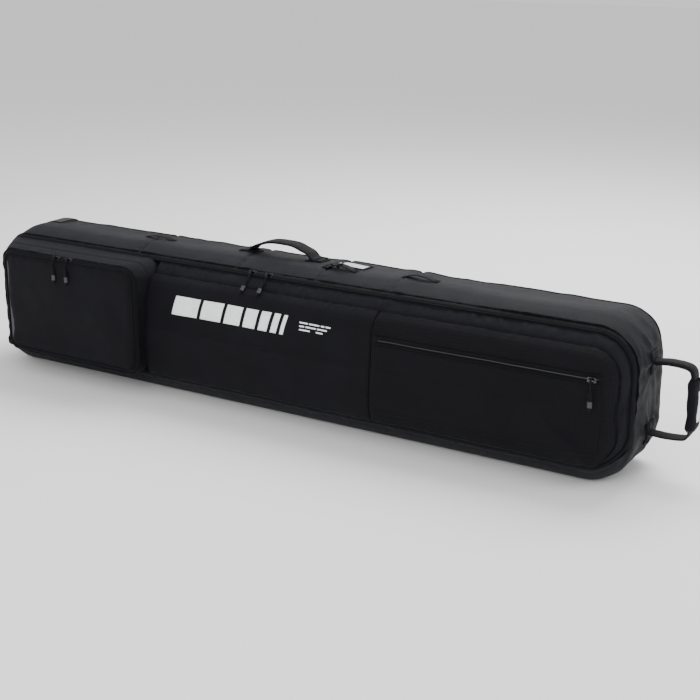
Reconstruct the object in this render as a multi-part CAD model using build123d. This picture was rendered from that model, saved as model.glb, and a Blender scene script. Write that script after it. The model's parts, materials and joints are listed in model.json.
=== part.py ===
from build123d import *
import math
import os

# A wheeled, padded snowboard bag that stands on its long edge.
# Frame in mm: +X runs along the bag to the end with the tow handle, the front panel faces -Y,
# +Z is up, and z = 0 is the surface that the bag stands on.
os.makedirs("parts", exist_ok=True)

# ---- Padded body ----
LENGTH = 1700.0          # end to end, without the tow handle
HEIGHT = 345.0           # standing on its long edge
BACK_Y = 130.0           # outside of the flat back panel
FACE_Y = -120.0          # outside of the front panel
WHEEL_CORNER_R = 68.0    # corners at the wheel end, seen from the front
HANDLE_CORNER_R = 95.0   # corners at the tow handle end
BACK_EDGE_R = 32.0       # rounding round the back panel
BACK_SEAM_Y = BACK_Y - BACK_EDGE_R
COVER_T = 1.6            # coated polyester cover
FOAM_T = 10.0            # closed-cell foam padding
LINING_T = 1.0           # inner lining
WALL_T = COVER_T + FOAM_T + LINING_T
MARGIN = 80.0            # how far cutting shapes run past the body

# ---- Side section ----
ZIP_Y = -50.0            # plane of the main zip
ZIP_DROP = 20.0          # the zip lies this far below the crown of the top gusset
CROWN_Y = 5.0            # where the crown starts
FACE_TOP_Z = 262.0       # where the sloping side band meets the front panel
FACE_BOTTOM_Z = 60.0     # where the front panel turns under
UNDER_Y = -60.0          # where the turned-under part reaches the floor
FACE_TOP_R = 30.0
FACE_BOTTOM_R = 40.0
END_TAPER = 48.0         # how much shorter the front panel is at each end
HINGE_Z = 50.0           # seam about which the lid folds open
LID_SEAM_Y = -80.0       # seam between the lid's side band and its front panel
GIRTH_X = 280.0          # seam round the girth, between plain and ripstop cloth

# ---- Gaps ----
BODY_GAP = 0.3           # half of the gap between pieces that part from each other
TAPE_W = 8.0             # width of each zip tape that shows

# ---- Boot pocket on the lid, at the wheel end ----
POCKET_LEFT_X = -782.0
POCKET_RIGHT_X = -340.0
POCKET_FACE_Y = -165.0
POCKET_REAR_Y = -52.0
POCKET_BOTTOM_Z = 56.0
POCKET_TOP_Z = 322.0
POCKET_CORNER_R = 36.0
POCKET_EDGE_R = 30.0
POCKET_WALL_T = 3.0
BOOT_SLIDER_TILT = 40.0  # degrees round the pocket's front edge at which its zip runs
POCKET_ZIP_Y = POCKET_FACE_Y + POCKET_EDGE_R * (1 - math.sin(math.radians(BOOT_SLIDER_TILT)))
POCKET_ZIP_END_Z = 82.0
POCKET_TAPE_T = 1.2
POCKET_TAPE_W = 6.0
POCKET_RIM = 14.0        # lid left standing round the way through to the pocket
DIVIDER_Y = -64.0
DIVIDER_T = 1.6
DIVIDER_INSET = 6.0      # from the pocket's outside to the divider's edge
FLAP_FOAM_T = 5.0
FLAP_FOAM_INSET = 34.0
FLAP_FOAM_CORNER_R = 12.0

# ---- Flat pocket on the lid, at the handle end ----
FLAT_ZIP_Z = 242.0
FLAT_TOP_Z = 250.0
FLAT_BOTTOM_Z = 80.0
FLAT_SIDE_GAP = 8.0
FLAT_PANEL_T = 2.0
FLAT_TAPE_T = 1.6

# ---- Zip sliders and their corded pulls ----
SLIDER_L = 19.0
SLIDER_W = 11.0
SLIDER_PLATE_T = 2.0
SLIDER_CORNER_R = 3.5
SLIDER_LIFT = 0.5        # gap between a slider's plate and the zip
BRIDGE_L = 14.0
BRIDGE_BAR_W = 2.4
BRIDGE_BAR_T = 2.0
BRIDGE_POST_L = 2.5
CORD_D = 2.4             # cord through each slider's bridge
CORD_AIR = 0.2           # gap between the cord's loop and the plate
LOOP_R = BRIDGE_BAR_W / 2 + CORD_D / 2 + 0.4  # from the bridge bar's middle to the cord's middle
EYE_LIFT = SLIDER_LIFT + SLIDER_PLATE_T + LOOP_R + CORD_D / 2 + CORD_AIR
GRIP_L = 44.0
GRIP_W = 10.0
GRIP_T = 7.0
GRIP_START = 24.0        # from the bridge bar to the top of a straight pull's grip
GRIP_EDGE_R = 2.5
MAIN_SLIDER_X = (-76.0, -30.0)
BOOT_SLIDER_X = (-585.0, -545.0)
FLAT_SLIDER_X = 785.0
MAIN_SLIDER_TILT = 42.0  # degrees that the main zip's sliders lean to the front
MAIN_PULL_TILT = 50.0    # degrees from straight down at which the main pulls lie

# ---- Carry handle on the top gusset ----
CARRY_X = (-150.0, 20.0)
CARRY_Y = 60.0
CARRY_W = 36.0
CARRY_T = 4.0
CARRY_H = 40.0
CARRY_SHOULDER = 34.0
CARRY_BEND_R = 24.0
CARRY_PIVOT_LIFT = 10.0
CARRY_NECK_W = 12.0      # the webbing narrows where it leaves its patches, so that it can tilt
CARRY_NECK_L = 14.0
PATCH_L = 42.0
PATCH_TUCK = 12.0        # how far a patch reaches in under the handle's end
PATCH_T = 2.4

# ---- Lash loops, tab and address window on the top gusset ----
LASH_LOOPS = ((-424.0, 46.0), (118.0, 18.0), (318.0, 32.0))
LASH_L = 88.0
LASH_W = 20.0
LASH_T = 1.8
LASH_GAP = 6.0
LASH_FOOT = 14.0
TAB_W = 9.0
TAB_L = 8.0
TAB_H = 11.0
TAB_T = 1.4
ID_X = 122.0
ID_Y = 60.0
ID_L = 92.0
ID_W = 46.0
ID_BORDER = 6.0
ID_FRAME_T = 1.7
ID_FILM_T = 0.5

# ---- Tow handle on the end panel ----
TOW_Y = 45.0
TOW_Z = (92.0, 245.0)
TOW_W = 38.0
TOW_T = 3.6
TOW_REACH = 100.0
TOW_SHOULDER = 58.0
TOW_PIVOT_OUT = 10.0
TOW_NECK_W = 14.0        # the webbing narrows where it leaves its patches, so that it can swing
TOW_NECK_L = 22.0
TOW_RISE = 8.0
TOW_DROP_LOW = 6.0      # from the lower strap up to where the loop runs upright
TOW_DROP_HIGH = 12.0     # the same below the upper strap
TOW_BENDS = [24.0, 14.0, 18.0, 24.0]
TOW_GRIP_T = 22.0
TOW_GRIP_W = 46.0
TOW_GRIP_L = 110.0
TOW_GRIP_EDGE_R = 6.0
TOW_GRIP_DROP = 1.5      # of the grip's middle below the middle between the patches
TOW_PATCH = 46.0
LABEL_T = 0.9
LABEL_W = 14.0
LABEL_L = 66.0

# ---- Wheels in their moulded corner tray ----
WHEEL_R = 38.0
WHEEL_W = 28.0
WHEEL_EDGE_R = 4.0
WHEEL_X = -808.0
WHEEL_Y = 98.0
WHEEL_Z_IN = 68.0        # wheel's middle from the bag's nearer long edge
AXLE_R = 4.0
BEARING_R = 11.0
BEARING_W = 7.0
BEARING_BORE_R = AXLE_R + 0.05
HUB_BORE_R = 5.5
WELL_AIR = 3.0
WELL_WALL = 3.0
TRAY_LIP = 2.0           # tray left round its wheel wells
WELL_REACH = WHEEL_R + WELL_AIR + WELL_WALL + TRAY_LIP
TRAY_FRONT_Y = WHEEL_Y - WELL_REACH
TRAY_INNER_X = WHEEL_X + WELL_REACH
RIVET_R = 4.5
RIVET_H = 1.6
RIVET_INSET = 11.0
RIVET_COUNT = 4

FRONT_PLANE = Plane(origin=(0, 0, HEIGHT / 2), x_dir=(1, 0, 0), z_dir=(0, 1, 0))
SIDE_PLANE = Plane(origin=(0, 0, 0), x_dir=(0, 1, 0), z_dir=(1, 0, 0))
HALF_L = LENGTH / 2


def box(x0, x1, y0, y1, z0, z1):
    """A plain block between two corners."""
    centre = ((x0 + x1) / 2, (y0 + y1) / 2, (z0 + z1) / 2)
    return Pos(*centre) * Box(x1 - x0, y1 - y0, z1 - z0)


def rounded_polygon(points, roundings):
    """A face through the points, with some corners rounded: {corner number: radius}."""
    face = Polygon(*points, align=None)
    for corner, radius in roundings.items():
        vertex = face.vertices().sort_by_distance((*points[corner], 0))[0]
        face = fillet([vertex], radius)
    return face


def front_outline(inset):
    """The bag's outline from the front, pulled in all round."""
    face = Rectangle(LENGTH - 2 * inset, HEIGHT - 2 * inset)
    face = fillet(face.vertices().group_by(Axis.X)[0], WHEEL_CORNER_R - inset)
    return fillet(face.vertices().group_by(Axis.X)[-1], HANDLE_CORNER_R - inset)


def side_outline(inset):
    """Section across the bag in Y and Z: sloping side band, front panel and turned-under foot."""
    slope_back = ZIP_DROP / (CROWN_Y - ZIP_Y)
    far_y = BACK_Y + MARGIN
    points = (
        (FACE_Y, FACE_BOTTOM_Z),
        (UNDER_Y + MARGIN, FACE_BOTTOM_Z - (UNDER_Y + MARGIN - FACE_Y)),
        (far_y, FACE_BOTTOM_Z - (UNDER_Y + MARGIN - FACE_Y)),
        (far_y, HEIGHT + slope_back * (far_y - CROWN_Y)),
        (ZIP_Y, HEIGHT - ZIP_DROP),
        (FACE_Y, FACE_TOP_Z),
    )
    face = rounded_polygon(points, {0: FACE_BOTTOM_R, 5: FACE_TOP_R})
    if inset:
        face = offset(face, amount=-inset, kind=Kind.INTERSECTION)
    return face


def plan_outline(inset):
    """Outline from above, which makes the lid's ends taper to the front panel."""
    slope = END_TAPER / (ZIP_Y - FACE_Y)
    far_y = BACK_Y + MARGIN
    near_y = FACE_Y - MARGIN
    far_x = HALF_L + slope * (far_y - ZIP_Y)
    near_x = HALF_L + slope * (near_y - ZIP_Y)
    face = Polygon((-far_x, far_y), (-near_x, near_y), (near_x, near_y), (far_x, far_y), align=None)
    if inset:
        face = offset(face, amount=-inset, kind=Kind.INTERSECTION)
    return face


def bag_block(inset):
    """The whole bag as one closed form, pulled in by a cover, foam or lining thickness."""
    depth = BACK_Y - inset - (FACE_Y - MARGIN)
    block = extrude(FRONT_PLANE.offset(FACE_Y - MARGIN) * front_outline(inset), amount=depth)
    block = fillet(block.edges().group_by(Axis.Y)[-1], BACK_EDGE_R - inset)
    side = extrude(SIDE_PLANE.offset(-LENGTH) * side_outline(inset), amount=2 * LENGTH)
    plan = extrude(Plane.XY.offset(-HEIGHT) * plan_outline(inset), amount=3 * HEIGHT)
    return block & side & plan


def pocket_block(inset):
    """The boot pocket as one closed form, which runs back into the lid."""
    width = POCKET_RIGHT_X - POCKET_LEFT_X - 2 * inset
    height = POCKET_TOP_Z - POCKET_BOTTOM_Z - 2 * inset
    centre_x = (POCKET_RIGHT_X + POCKET_LEFT_X) / 2
    centre_z = (POCKET_TOP_Z + POCKET_BOTTOM_Z) / 2
    plane = Plane(origin=(centre_x, POCKET_FACE_Y + inset, centre_z), x_dir=(1, 0, 0), z_dir=(0, 1, 0))
    face = plane * RectangleRounded(width, height, POCKET_CORNER_R - inset)
    block = extrude(face, amount=POCKET_REAR_Y - POCKET_FACE_Y - inset)
    return fillet(block.edges().group_by(Axis.Y)[0], POCKET_EDGE_R - inset)


BLOCKS = {inset: bag_block(inset) for inset in (0.0, COVER_T, COVER_T + FOAM_T, WALL_T)}
COVER = BLOCKS[0.0] - BLOCKS[COVER_T]
FOAM = BLOCKS[COVER_T] - BLOCKS[COVER_T + FOAM_T]
LINING = BLOCKS[COVER_T + FOAM_T] - BLOCKS[WALL_T]
FAR = LENGTH


def everything(y0=-FAR, y1=FAR, z0=-FAR, z1=FAR, x0=-FAR, x1=FAR):
    """A cutting block that is open on the sides that aren't given."""
    return box(x0, x1, y0, y1, z0, z1)


def tub_space(front_y):
    """Room of the tub: behind a plane, and all of the turned-under foot below the lid's seam."""
    return everything(y0=front_y) + everything(z1=HINGE_Z)


def lid_space(back_y):
    """Room of the lid: in front of a plane and above its folding seam."""
    return everything(y1=back_y, z0=HINGE_Z + 2 * BODY_GAP)


def tray_space():
    """Corner at the wheel end that the moulded tray takes from the padded walls."""
    return everything(x1=TRAY_INNER_X, y0=TRAY_FRONT_Y)


def wheel_heights():
    """Heights of the lower and the upper wheel's middle."""
    return {"lower": WHEEL_Z_IN, "upper": HEIGHT - WHEEL_Z_IN}


def tub_panels(layer, names, front_y):
    """Cuts one layer of the tub into back, top, bottom and two end pieces."""
    shell = layer & tub_space(front_y)
    shell = shell - tray_space()
    left = -HALF_L + WHEEL_CORNER_R
    right = HALF_L - HANDLE_CORNER_R
    spaces = (
        everything(y0=BACK_SEAM_Y),
        everything(y1=BACK_SEAM_Y, x0=left, x1=right, z0=HEIGHT / 2),
        everything(y1=BACK_SEAM_Y, x0=left, x1=right, z1=HEIGHT / 2),
        everything(y1=BACK_SEAM_Y, x0=right),
        everything(y1=BACK_SEAM_Y, x1=left),
    )
    return {name: shell & space for name, space in zip(names, spaces)}


def zip_tapes():
    """The two halves of the main zip's tape, in the same skin as the cover."""
    above = everything(z0=HINGE_Z + 2 * BODY_GAP)
    tub = COVER & above & everything(y0=ZIP_Y + BODY_GAP, y1=ZIP_Y + TAPE_W)
    lid = COVER & above & everything(y0=ZIP_Y - TAPE_W, y1=ZIP_Y - BODY_GAP)
    return {"main_zip_tape_tub": tub, "main_zip_tape_lid": lid}


def tub_parts():
    """Cover, foam and lining of the tub, and its half of the main zip."""
    front = ZIP_Y + TAPE_W
    covers = ("back_panel", "top_gusset", "bottom_gusset", "handle_end_panel", "wheel_end_panel")
    foams = ("back_foam", "top_foam", "bottom_foam", "handle_end_foam", "wheel_end_foam")
    parts = tub_panels(COVER, covers, front)
    parts.update(tub_panels(FOAM, foams, front))
    parts["tub_lining"] = (LINING & tub_space(front)) - tray_space()
    return parts


def pocket_passage():
    """Way through the lid's layers from the boot pocket to its divider."""
    return box(
        POCKET_LEFT_X + POCKET_RIM, POCKET_RIGHT_X - POCKET_RIM, POCKET_FACE_Y, DIVIDER_Y,
        POCKET_BOTTOM_Z + POCKET_RIM, FACE_TOP_Z + POCKET_RIM,
    )


def lid_parts():
    """The lid's panels, side band, foam and lining."""
    back = ZIP_Y - TAPE_W
    cover = (COVER & lid_space(back)) - pocket_passage()
    face = cover & everything(y1=LID_SEAM_Y)
    return {
        "lid_main_panel": face & everything(x1=GIRTH_X),
        "lid_ripstop_panel": face & everything(x0=GIRTH_X),
        "lid_side_band": cover & everything(y0=LID_SEAM_Y),
        "lid_foam": (FOAM & lid_space(back)) - pocket_passage(),
        "lid_lining": (LINING & lid_space(back)) - pocket_passage(),
    }


def boot_pocket_parts():
    """Walls, zip tapes, divider, hinged flap and flap foam of the boot pocket."""
    shell = pocket_block(0.0) - pocket_block(POCKET_WALL_T)
    skin = pocket_block(0.0) - pocket_block(POCKET_TAPE_T)
    zipped = everything(z0=POCKET_ZIP_END_Z)
    wall_tape = skin & zipped & everything(y0=POCKET_ZIP_Y + BODY_GAP, y1=POCKET_ZIP_Y + POCKET_TAPE_W)
    flap_tape = skin & zipped & everything(y0=POCKET_ZIP_Y - POCKET_TAPE_W, y1=POCKET_ZIP_Y - BODY_GAP)
    walls = (shell & everything(y0=POCKET_ZIP_Y + BODY_GAP)) - BLOCKS[0.0] - wall_tape
    flap = (shell & everything(y1=POCKET_ZIP_Y - BODY_GAP)) - flap_tape
    inner = BLOCKS[WALL_T]
    low = POCKET_BOTTOM_Z + DIVIDER_INSET
    side_x = POCKET_RIGHT_X - DIVIDER_INSET
    room = everything(x1=side_x, z0=low, y1=DIVIDER_Y) & inner
    hollow = everything(x1=side_x - DIVIDER_T, z0=low + DIVIDER_T, y1=DIVIDER_Y - DIVIDER_T)
    foam_w = POCKET_RIGHT_X - POCKET_LEFT_X - 2 * FLAP_FOAM_INSET
    foam_h = POCKET_TOP_Z - POCKET_BOTTOM_Z - 2 * FLAP_FOAM_INSET
    centre = ((POCKET_RIGHT_X + POCKET_LEFT_X) / 2, POCKET_FACE_Y + POCKET_WALL_T,
              (POCKET_TOP_Z + POCKET_BOTTOM_Z) / 2)
    plane = Plane(origin=centre, x_dir=(1, 0, 0), z_dir=(0, 1, 0))
    pad = plane * RectangleRounded(foam_w, foam_h, FLAP_FOAM_CORNER_R)
    return {
        "boot_pocket_walls": walls,
        "boot_zip_tape_wall": wall_tape,
        "boot_zip_tape_flap": flap_tape,
        "boot_pocket_divider": room - hollow,
        "boot_flap": flap,
        "boot_flap_foam": extrude(pad, amount=FLAP_FOAM_T),
    }


def flat_pocket_parts():
    """Front panel and zip tapes of the flat pocket on the ripstop part of the lid."""
    left = GIRTH_X + FLAT_SIDE_GAP
    right = HALF_L - END_TAPER
    panel_top = FLAT_ZIP_Z - TAPE_W / 2
    panel = box(left, right, FACE_Y - FLAT_PANEL_T, FACE_Y, FLAT_BOTTOM_Z, panel_top)
    lower = box(left, right, FACE_Y - FLAT_TAPE_T, FACE_Y, panel_top, FLAT_ZIP_Z - BODY_GAP)
    upper = box(left, right, FACE_Y - FLAT_TAPE_T, FACE_Y, FLAT_ZIP_Z + BODY_GAP, FLAT_TOP_Z)
    return {"flat_pocket_panel": panel, "flat_zip_tapes": Compound([lower.solid(), upper.solid()])}


def zip_frames():
    """Where each slider sits: name, x, point on the zip in Y and Z, and lean of its plate."""
    centre_y = POCKET_FACE_Y + POCKET_EDGE_R
    centre_z = POCKET_TOP_Z - POCKET_EDGE_R
    boot_y = centre_y - POCKET_EDGE_R * math.sin(math.radians(BOOT_SLIDER_TILT))
    boot_z = centre_z + POCKET_EDGE_R * math.cos(math.radians(BOOT_SLIDER_TILT))
    main = (ZIP_Y, HEIGHT - ZIP_DROP, MAIN_SLIDER_TILT)
    return {
        "main_left": (MAIN_SLIDER_X[0], *main),
        "main_right": (MAIN_SLIDER_X[1], *main),
        "boot_left": (BOOT_SLIDER_X[0], boot_y, boot_z, BOOT_SLIDER_TILT),
        "boot_right": (BOOT_SLIDER_X[1], boot_y, boot_z, BOOT_SLIDER_TILT),
        "flat": (FLAT_SLIDER_X, FACE_Y - FLAT_TAPE_T, FLAT_ZIP_Z, 90.0),
    }


def eye_of(frame):
    """Middle of a slider's bridge bar, as Y and Z."""
    _, y, z, tilt = frame
    lean = math.radians(tilt)
    return y - EYE_LIFT * math.sin(lean), z + EYE_LIFT * math.cos(lean)


def slider(frame):
    """Slider: a plate over the zip and a bridge whose bar runs along the zip."""
    x, y, z, tilt = frame
    plate_top = SLIDER_LIFT + SLIDER_PLATE_T
    plate = Pos(0, 0, SLIDER_LIFT + SLIDER_PLATE_T / 2) * Box(SLIDER_L, SLIDER_W, SLIDER_PLATE_T)
    plate = fillet(plate.edges().filter_by(Axis.Z), SLIDER_CORNER_R)
    bar = Pos(0, 0, EYE_LIFT) * Box(BRIDGE_L, BRIDGE_BAR_W, BRIDGE_BAR_T)
    body = plate + bar
    post_h = EYE_LIFT - BRIDGE_BAR_T / 2 - plate_top
    for side in (-1, 1):
        post_x = side * (BRIDGE_L - BRIDGE_POST_L) / 2
        body += Pos(post_x, 0, plate_top + post_h / 2) * Box(BRIDGE_POST_L, BRIDGE_BAR_W, post_h)
    return Pos(x, y, z) * Rot(tilt, 0, 0) * body


# Route of each pull's cord, in mm from the bridge bar's middle: (Y, Z), in the plane of the loop.
STRAIGHT_ROUTE = (
    (-1.6, -24.0), (-1.6, -15.5), (-LOOP_R, -8.0), (-LOOP_R, LOOP_R),
    (LOOP_R, LOOP_R), (LOOP_R, -8.0), (1.6, -15.5), (1.6, -24.0),
)
# A boot pocket pull first leaves the zip along the rounded edge, then hangs down the flap.
BENT_LOOP_R = LOOP_R + 1.1
BENT_ROUTE = (
    (-13.1, -24.0), (-13.1, -14.0), (-LOOP_R - 4.0, -2.0), (0.3, BENT_LOOP_R),
    (BENT_LOOP_R, -0.3), (-3.2, -LOOP_R - 3.5), (-9.9, -16.0), (-9.9, -24.0),
)
BENT_GRIP = (-11.5, -24.0)


def turned(point, degrees):
    """A point in Y and Z, turned towards the front of the bag about the bridge bar."""
    y, z = point
    c, s = math.cos(math.radians(degrees)), math.sin(math.radians(degrees))
    return y * c + z * s, -y * s + z * c


def cord_tube(points, diameter):
    """A tube along straight runs joined by arcs as large as the runs allow."""
    corners = [Vector(*p) for p in points]
    radii = []
    for a, b, c in zip(corners, corners[1:], corners[2:]):
        turn = math.radians((b - a).get_angle(c - b))
        short = min((b - a).length, (c - b).length)
        radii.append(0.45 * short / math.tan(turn / 2))
    path = FilletPolyline(*corners, radius=radii)
    start = Plane(origin=path @ 0, z_dir=path % 0)
    tube = sweep(start * Circle(diameter / 2), path=path)
    print("cord", round(path.length, 1), "mm, radii", [round(r, 1) for r in radii],
          "volume ratio", round(tube.volume / (math.pi * diameter**2 / 4 * path.length), 4))
    return tube


def pull(frame, route, tilt, grip_at):
    """A pull's cord, looped round the bridge bar, and the moulded grip on its two ends."""
    x = frame[0]
    eye_y, eye_z = eye_of(frame)
    points = [(x, eye_y + y, eye_z + z) for y, z in (turned(p, tilt) for p in route)]
    cord = cord_tube(points, CORD_D)
    grip = Pos(0, 0, -GRIP_L / 2) * Box(GRIP_W, GRIP_T, GRIP_L)
    grip = fillet(grip.edges(), GRIP_EDGE_R)
    top_y, top_z = turned(grip_at, tilt)
    return cord, Pos(x, eye_y + top_y, eye_z + top_z) * Rot(-tilt, 0, 0) * grip


def slider_parts():
    """All five sliders with their pulls."""
    straight = (STRAIGHT_ROUTE, (0.0, -GRIP_START))
    bent = (BENT_ROUTE, BENT_GRIP)
    shapes = {
        "main_left": (*straight, MAIN_PULL_TILT),
        "main_right": (*straight, MAIN_PULL_TILT),
        "boot_left": (*bent, 0.0),
        "boot_right": (*bent, 0.0),
        "flat": (*straight, 0.0),
    }
    parts = {}
    for name, frame in zip_frames().items():
        route, grip_at, tilt = shapes[name]
        parts[f"{name}_slider"] = slider(frame)
        cord, grip = pull(frame, route, tilt, grip_at)
        parts[f"{name}_pull_cord"] = cord
        parts[f"{name}_pull_grip"] = grip
    return parts


def strap(points, radii, thickness, width, middle_y):
    """A flat strap of one thickness along a path in X and Z, as wide as given along Y."""
    path = FilletPolyline(*[(x, middle_y - width / 2, z) for x, z in points], radius=radii)
    start = Plane(origin=path @ 0, x_dir=(0, 1, 0), z_dir=path % 0)
    profile = start * Pos(width / 2, 0) * Rectangle(width, thickness)
    return sweep(profile, path=path, transition=Transition.RIGHT)


def carry_handle_parts():
    """Webbing handle on the top gusset: a tilting arch and two sewn patches under its ends."""
    x0, x1 = CARRY_X
    pivot_z = HEIGHT + CARRY_PIVOT_LIFT
    top_z = HEIGHT + CARRY_H
    points = ((x0, pivot_z), (x0 + CARRY_SHOULDER, top_z), (x1 - CARRY_SHOULDER, top_z), (x1, pivot_z))
    arch = strap(points, [CARRY_BEND_R, CARRY_BEND_R], CARRY_T, CARRY_W, CARRY_Y)
    for side in (-1, 1):
        y0, y1 = sorted((CARRY_Y + side * CARRY_NECK_W / 2, CARRY_Y + side * CARRY_W))
        arch -= everything(x1=x0 + CARRY_NECK_L, y0=y0, y1=y1)
        arch -= everything(x0=x1 - CARRY_NECK_L, y0=y0, y1=y1)
    patches = []
    for x, side in ((x0, -1), (x1, 1)):
        inner = x - side * PATCH_TUCK
        outer = x + side * (PATCH_L - PATCH_TUCK)
        low, high = sorted((inner, outer))
        patch = box(low, high, CARRY_Y - CARRY_W / 2, CARRY_Y + CARRY_W / 2, HEIGHT, HEIGHT + PATCH_T)
        patches.append(patch.solid())
    return {"carry_handle": arch, "carry_handle_patches": Compound(patches)}


def lash_loop(x, y):
    """A webbing loop sewn down at both ends and raised between them."""
    raised = LASH_GAP + LASH_T
    half = LASH_L / 2
    body = box(x - half + LASH_FOOT, x + half - LASH_FOOT, y - LASH_W / 2, y + LASH_W / 2,
               HEIGHT + LASH_GAP, HEIGHT + raised)
    for side in (-1, 1):
        edge = x + side * (half - LASH_FOOT)
        foot = x + side * half
        low, high = sorted((edge, foot))
        body += box(low, high, y - LASH_W / 2, y + LASH_W / 2, HEIGHT, HEIGHT + LASH_T)
        low, high = sorted((edge, edge + side * LASH_T))
        body += box(low, high, y - LASH_W / 2, y + LASH_W / 2, HEIGHT, HEIGHT + raised)
    return body


def gusset_trim_parts():
    """Lash loops, the small tab on the middle one, and the address window."""
    loops = [lash_loop(x, y).solid() for x, y in LASH_LOOPS]
    tab_x, tab_y = LASH_LOOPS[1]
    base = HEIGHT + LASH_GAP + LASH_T
    tab = box(tab_x - TAB_W / 2, tab_x + TAB_W / 2, tab_y - LASH_W / 2, tab_y - LASH_W / 2 + TAB_L,
              base, base + TAB_H)
    tab -= box(tab_x - TAB_W / 2 + TAB_T, tab_x + TAB_W / 2 - TAB_T, tab_y - LASH_W, tab_y + LASH_W,
               base + TAB_T, base + TAB_H - TAB_T)
    frame = box(ID_X - ID_L / 2, ID_X + ID_L / 2, ID_Y - ID_W / 2, ID_Y + ID_W / 2,
                HEIGHT, HEIGHT + ID_FRAME_T)
    hole = (ID_X - ID_L / 2 + ID_BORDER, ID_X + ID_L / 2 - ID_BORDER,
            ID_Y - ID_W / 2 + ID_BORDER, ID_Y + ID_W / 2 - ID_BORDER)
    frame -= box(*hole, HEIGHT, HEIGHT + ID_FRAME_T)
    return {
        "lash_loops": Compound(loops),
        "lash_tab": tab,
        "id_frame": frame,
        "id_card": box(*hole, HEIGHT, HEIGHT + ID_FILM_T),
        "id_window": box(*hole, HEIGHT + ID_FILM_T, HEIGHT + 2 * ID_FILM_T),
    }


def tow_handle_parts():
    """Webbing loop on the end panel with a wrapped grip, and the patches that hold it."""
    low_z, high_z = TOW_Z
    start_x = HALF_L + TOW_PIVOT_OUT
    reach_x = HALF_L + TOW_REACH - TOW_GRIP_T / 2
    elbow_x = HALF_L + TOW_SHOULDER
    top = high_z + TOW_RISE
    points = (
        (start_x, low_z), (elbow_x, low_z), (reach_x, low_z + TOW_DROP_LOW),
        (reach_x, high_z - TOW_DROP_HIGH), (elbow_x, top), (start_x, high_z),
    )
    loop = strap(points, TOW_BENDS, TOW_T, TOW_W, TOW_Y)
    for side in (-1, 1):
        y0, y1 = sorted((TOW_Y + side * TOW_NECK_W / 2, TOW_Y + side * TOW_W))
        loop -= everything(x1=start_x + TOW_NECK_L, y0=y0, y1=y1)
    grip_z = (low_z + high_z) / 2 - TOW_GRIP_DROP
    grip = Pos(reach_x, TOW_Y, grip_z) * Box(TOW_GRIP_T, TOW_GRIP_W, TOW_GRIP_L)
    grip = fillet(grip.edges().filter_by(Axis.Z), TOW_GRIP_EDGE_R)
    grip -= box(reach_x - TOW_T / 2, reach_x + TOW_T / 2, TOW_Y - TOW_W / 2, TOW_Y + TOW_W / 2,
                low_z, high_z)
    face_x = reach_x + TOW_GRIP_T / 2
    label = box(face_x, face_x + LABEL_T, TOW_Y - LABEL_W / 2, TOW_Y + LABEL_W / 2,
                grip_z - LABEL_L / 2, grip_z + LABEL_L / 2)
    patches = []
    for z in TOW_Z:
        patch = box(HALF_L, HALF_L + PATCH_T, TOW_Y - TOW_PATCH / 2, TOW_Y + TOW_PATCH / 2,
                    z - TOW_PATCH / 2, z + TOW_PATCH / 2)
        patches.append(patch.solid())
    return {
        "tow_handle_strap": loop,
        "tow_handle_grip": grip,
        "tow_handle_label": label,
        "tow_handle_patches": Compound(patches),
    }


def wheel_parts():
    """Corner tray with two wells, axles and rivets, and two wheels with their bearings."""
    tray = (COVER + FOAM + LINING) & tray_space()
    axles = []
    parts = {}
    half_well = WHEEL_W / 2 + WELL_AIR
    half_house = half_well + WELL_WALL
    reach = WHEEL_R + WELL_AIR
    for z in wheel_heights().values():
        house = box(-FAR, WHEEL_X + reach + WELL_WALL, WHEEL_Y - reach - WELL_WALL, FAR,
                    z - half_house, z + half_house)
        tray += house & BLOCKS[0.0]
    for name, z in wheel_heights().items():
        tray -= box(-FAR, WHEEL_X + reach, WHEEL_Y - reach, FAR, z - half_well, z + half_well)
        axle = Pos(WHEEL_X, WHEEL_Y, z) * Cylinder(AXLE_R, 2 * half_house)
        tray -= axle
        axles.append(axle.solid())
        wheel = Pos(WHEEL_X, WHEEL_Y, z) * Cylinder(WHEEL_R, WHEEL_W)
        wheel = fillet(wheel.edges(), WHEEL_EDGE_R)
        wheel -= Pos(WHEEL_X, WHEEL_Y, z) * Cylinder(HUB_BORE_R, WHEEL_W)
        bearings = []
        for side in (-1, 1):
            seat = Pos(WHEEL_X, WHEEL_Y, z + side * (WHEEL_W - BEARING_W) / 2)
            wheel -= seat * Cylinder(BEARING_R, BEARING_W)
            ring = seat * (Cylinder(BEARING_R, BEARING_W) - Cylinder(BEARING_BORE_R, BEARING_W))
            bearings.append(ring.solid())
        parts[f"wheel_{name}"] = wheel
        parts[f"wheel_bearings_{name}"] = Compound(bearings)
    rivets = []
    for number in range(RIVET_COUNT):
        share = number / (RIVET_COUNT - 1)
        low = WHEEL_Z_IN + half_house + RIVET_INSET
        z = low + share * (HEIGHT - 2 * low)
        seat = Pos(TRAY_INNER_X - RIVET_INSET, BACK_Y, z) * Rot(-90, 0, 0)
        rivets.append((seat * Pos(0, 0, RIVET_H / 2) * Cylinder(RIVET_R, RIVET_H)).solid())
    parts["wheel_tray"] = tray
    parts["wheel_axles"] = Compound(axles)
    parts["tray_rivets"] = Compound(rivets)
    return parts


def all_parts():
    """Every piece of the bag by name."""
    parts = {}
    makers = (tub_parts, zip_tapes, lid_parts, boot_pocket_parts, flat_pocket_parts, slider_parts,
              carry_handle_parts, gusset_trim_parts, tow_handle_parts, wheel_parts)
    for maker in makers:
        parts.update(maker())
    return parts


for node, shape in all_parts().items():
    solids = shape.solids()
    export_step(Compound(solids) if len(solids) > 1 else solids[0], f"parts/{node}.step")
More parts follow.
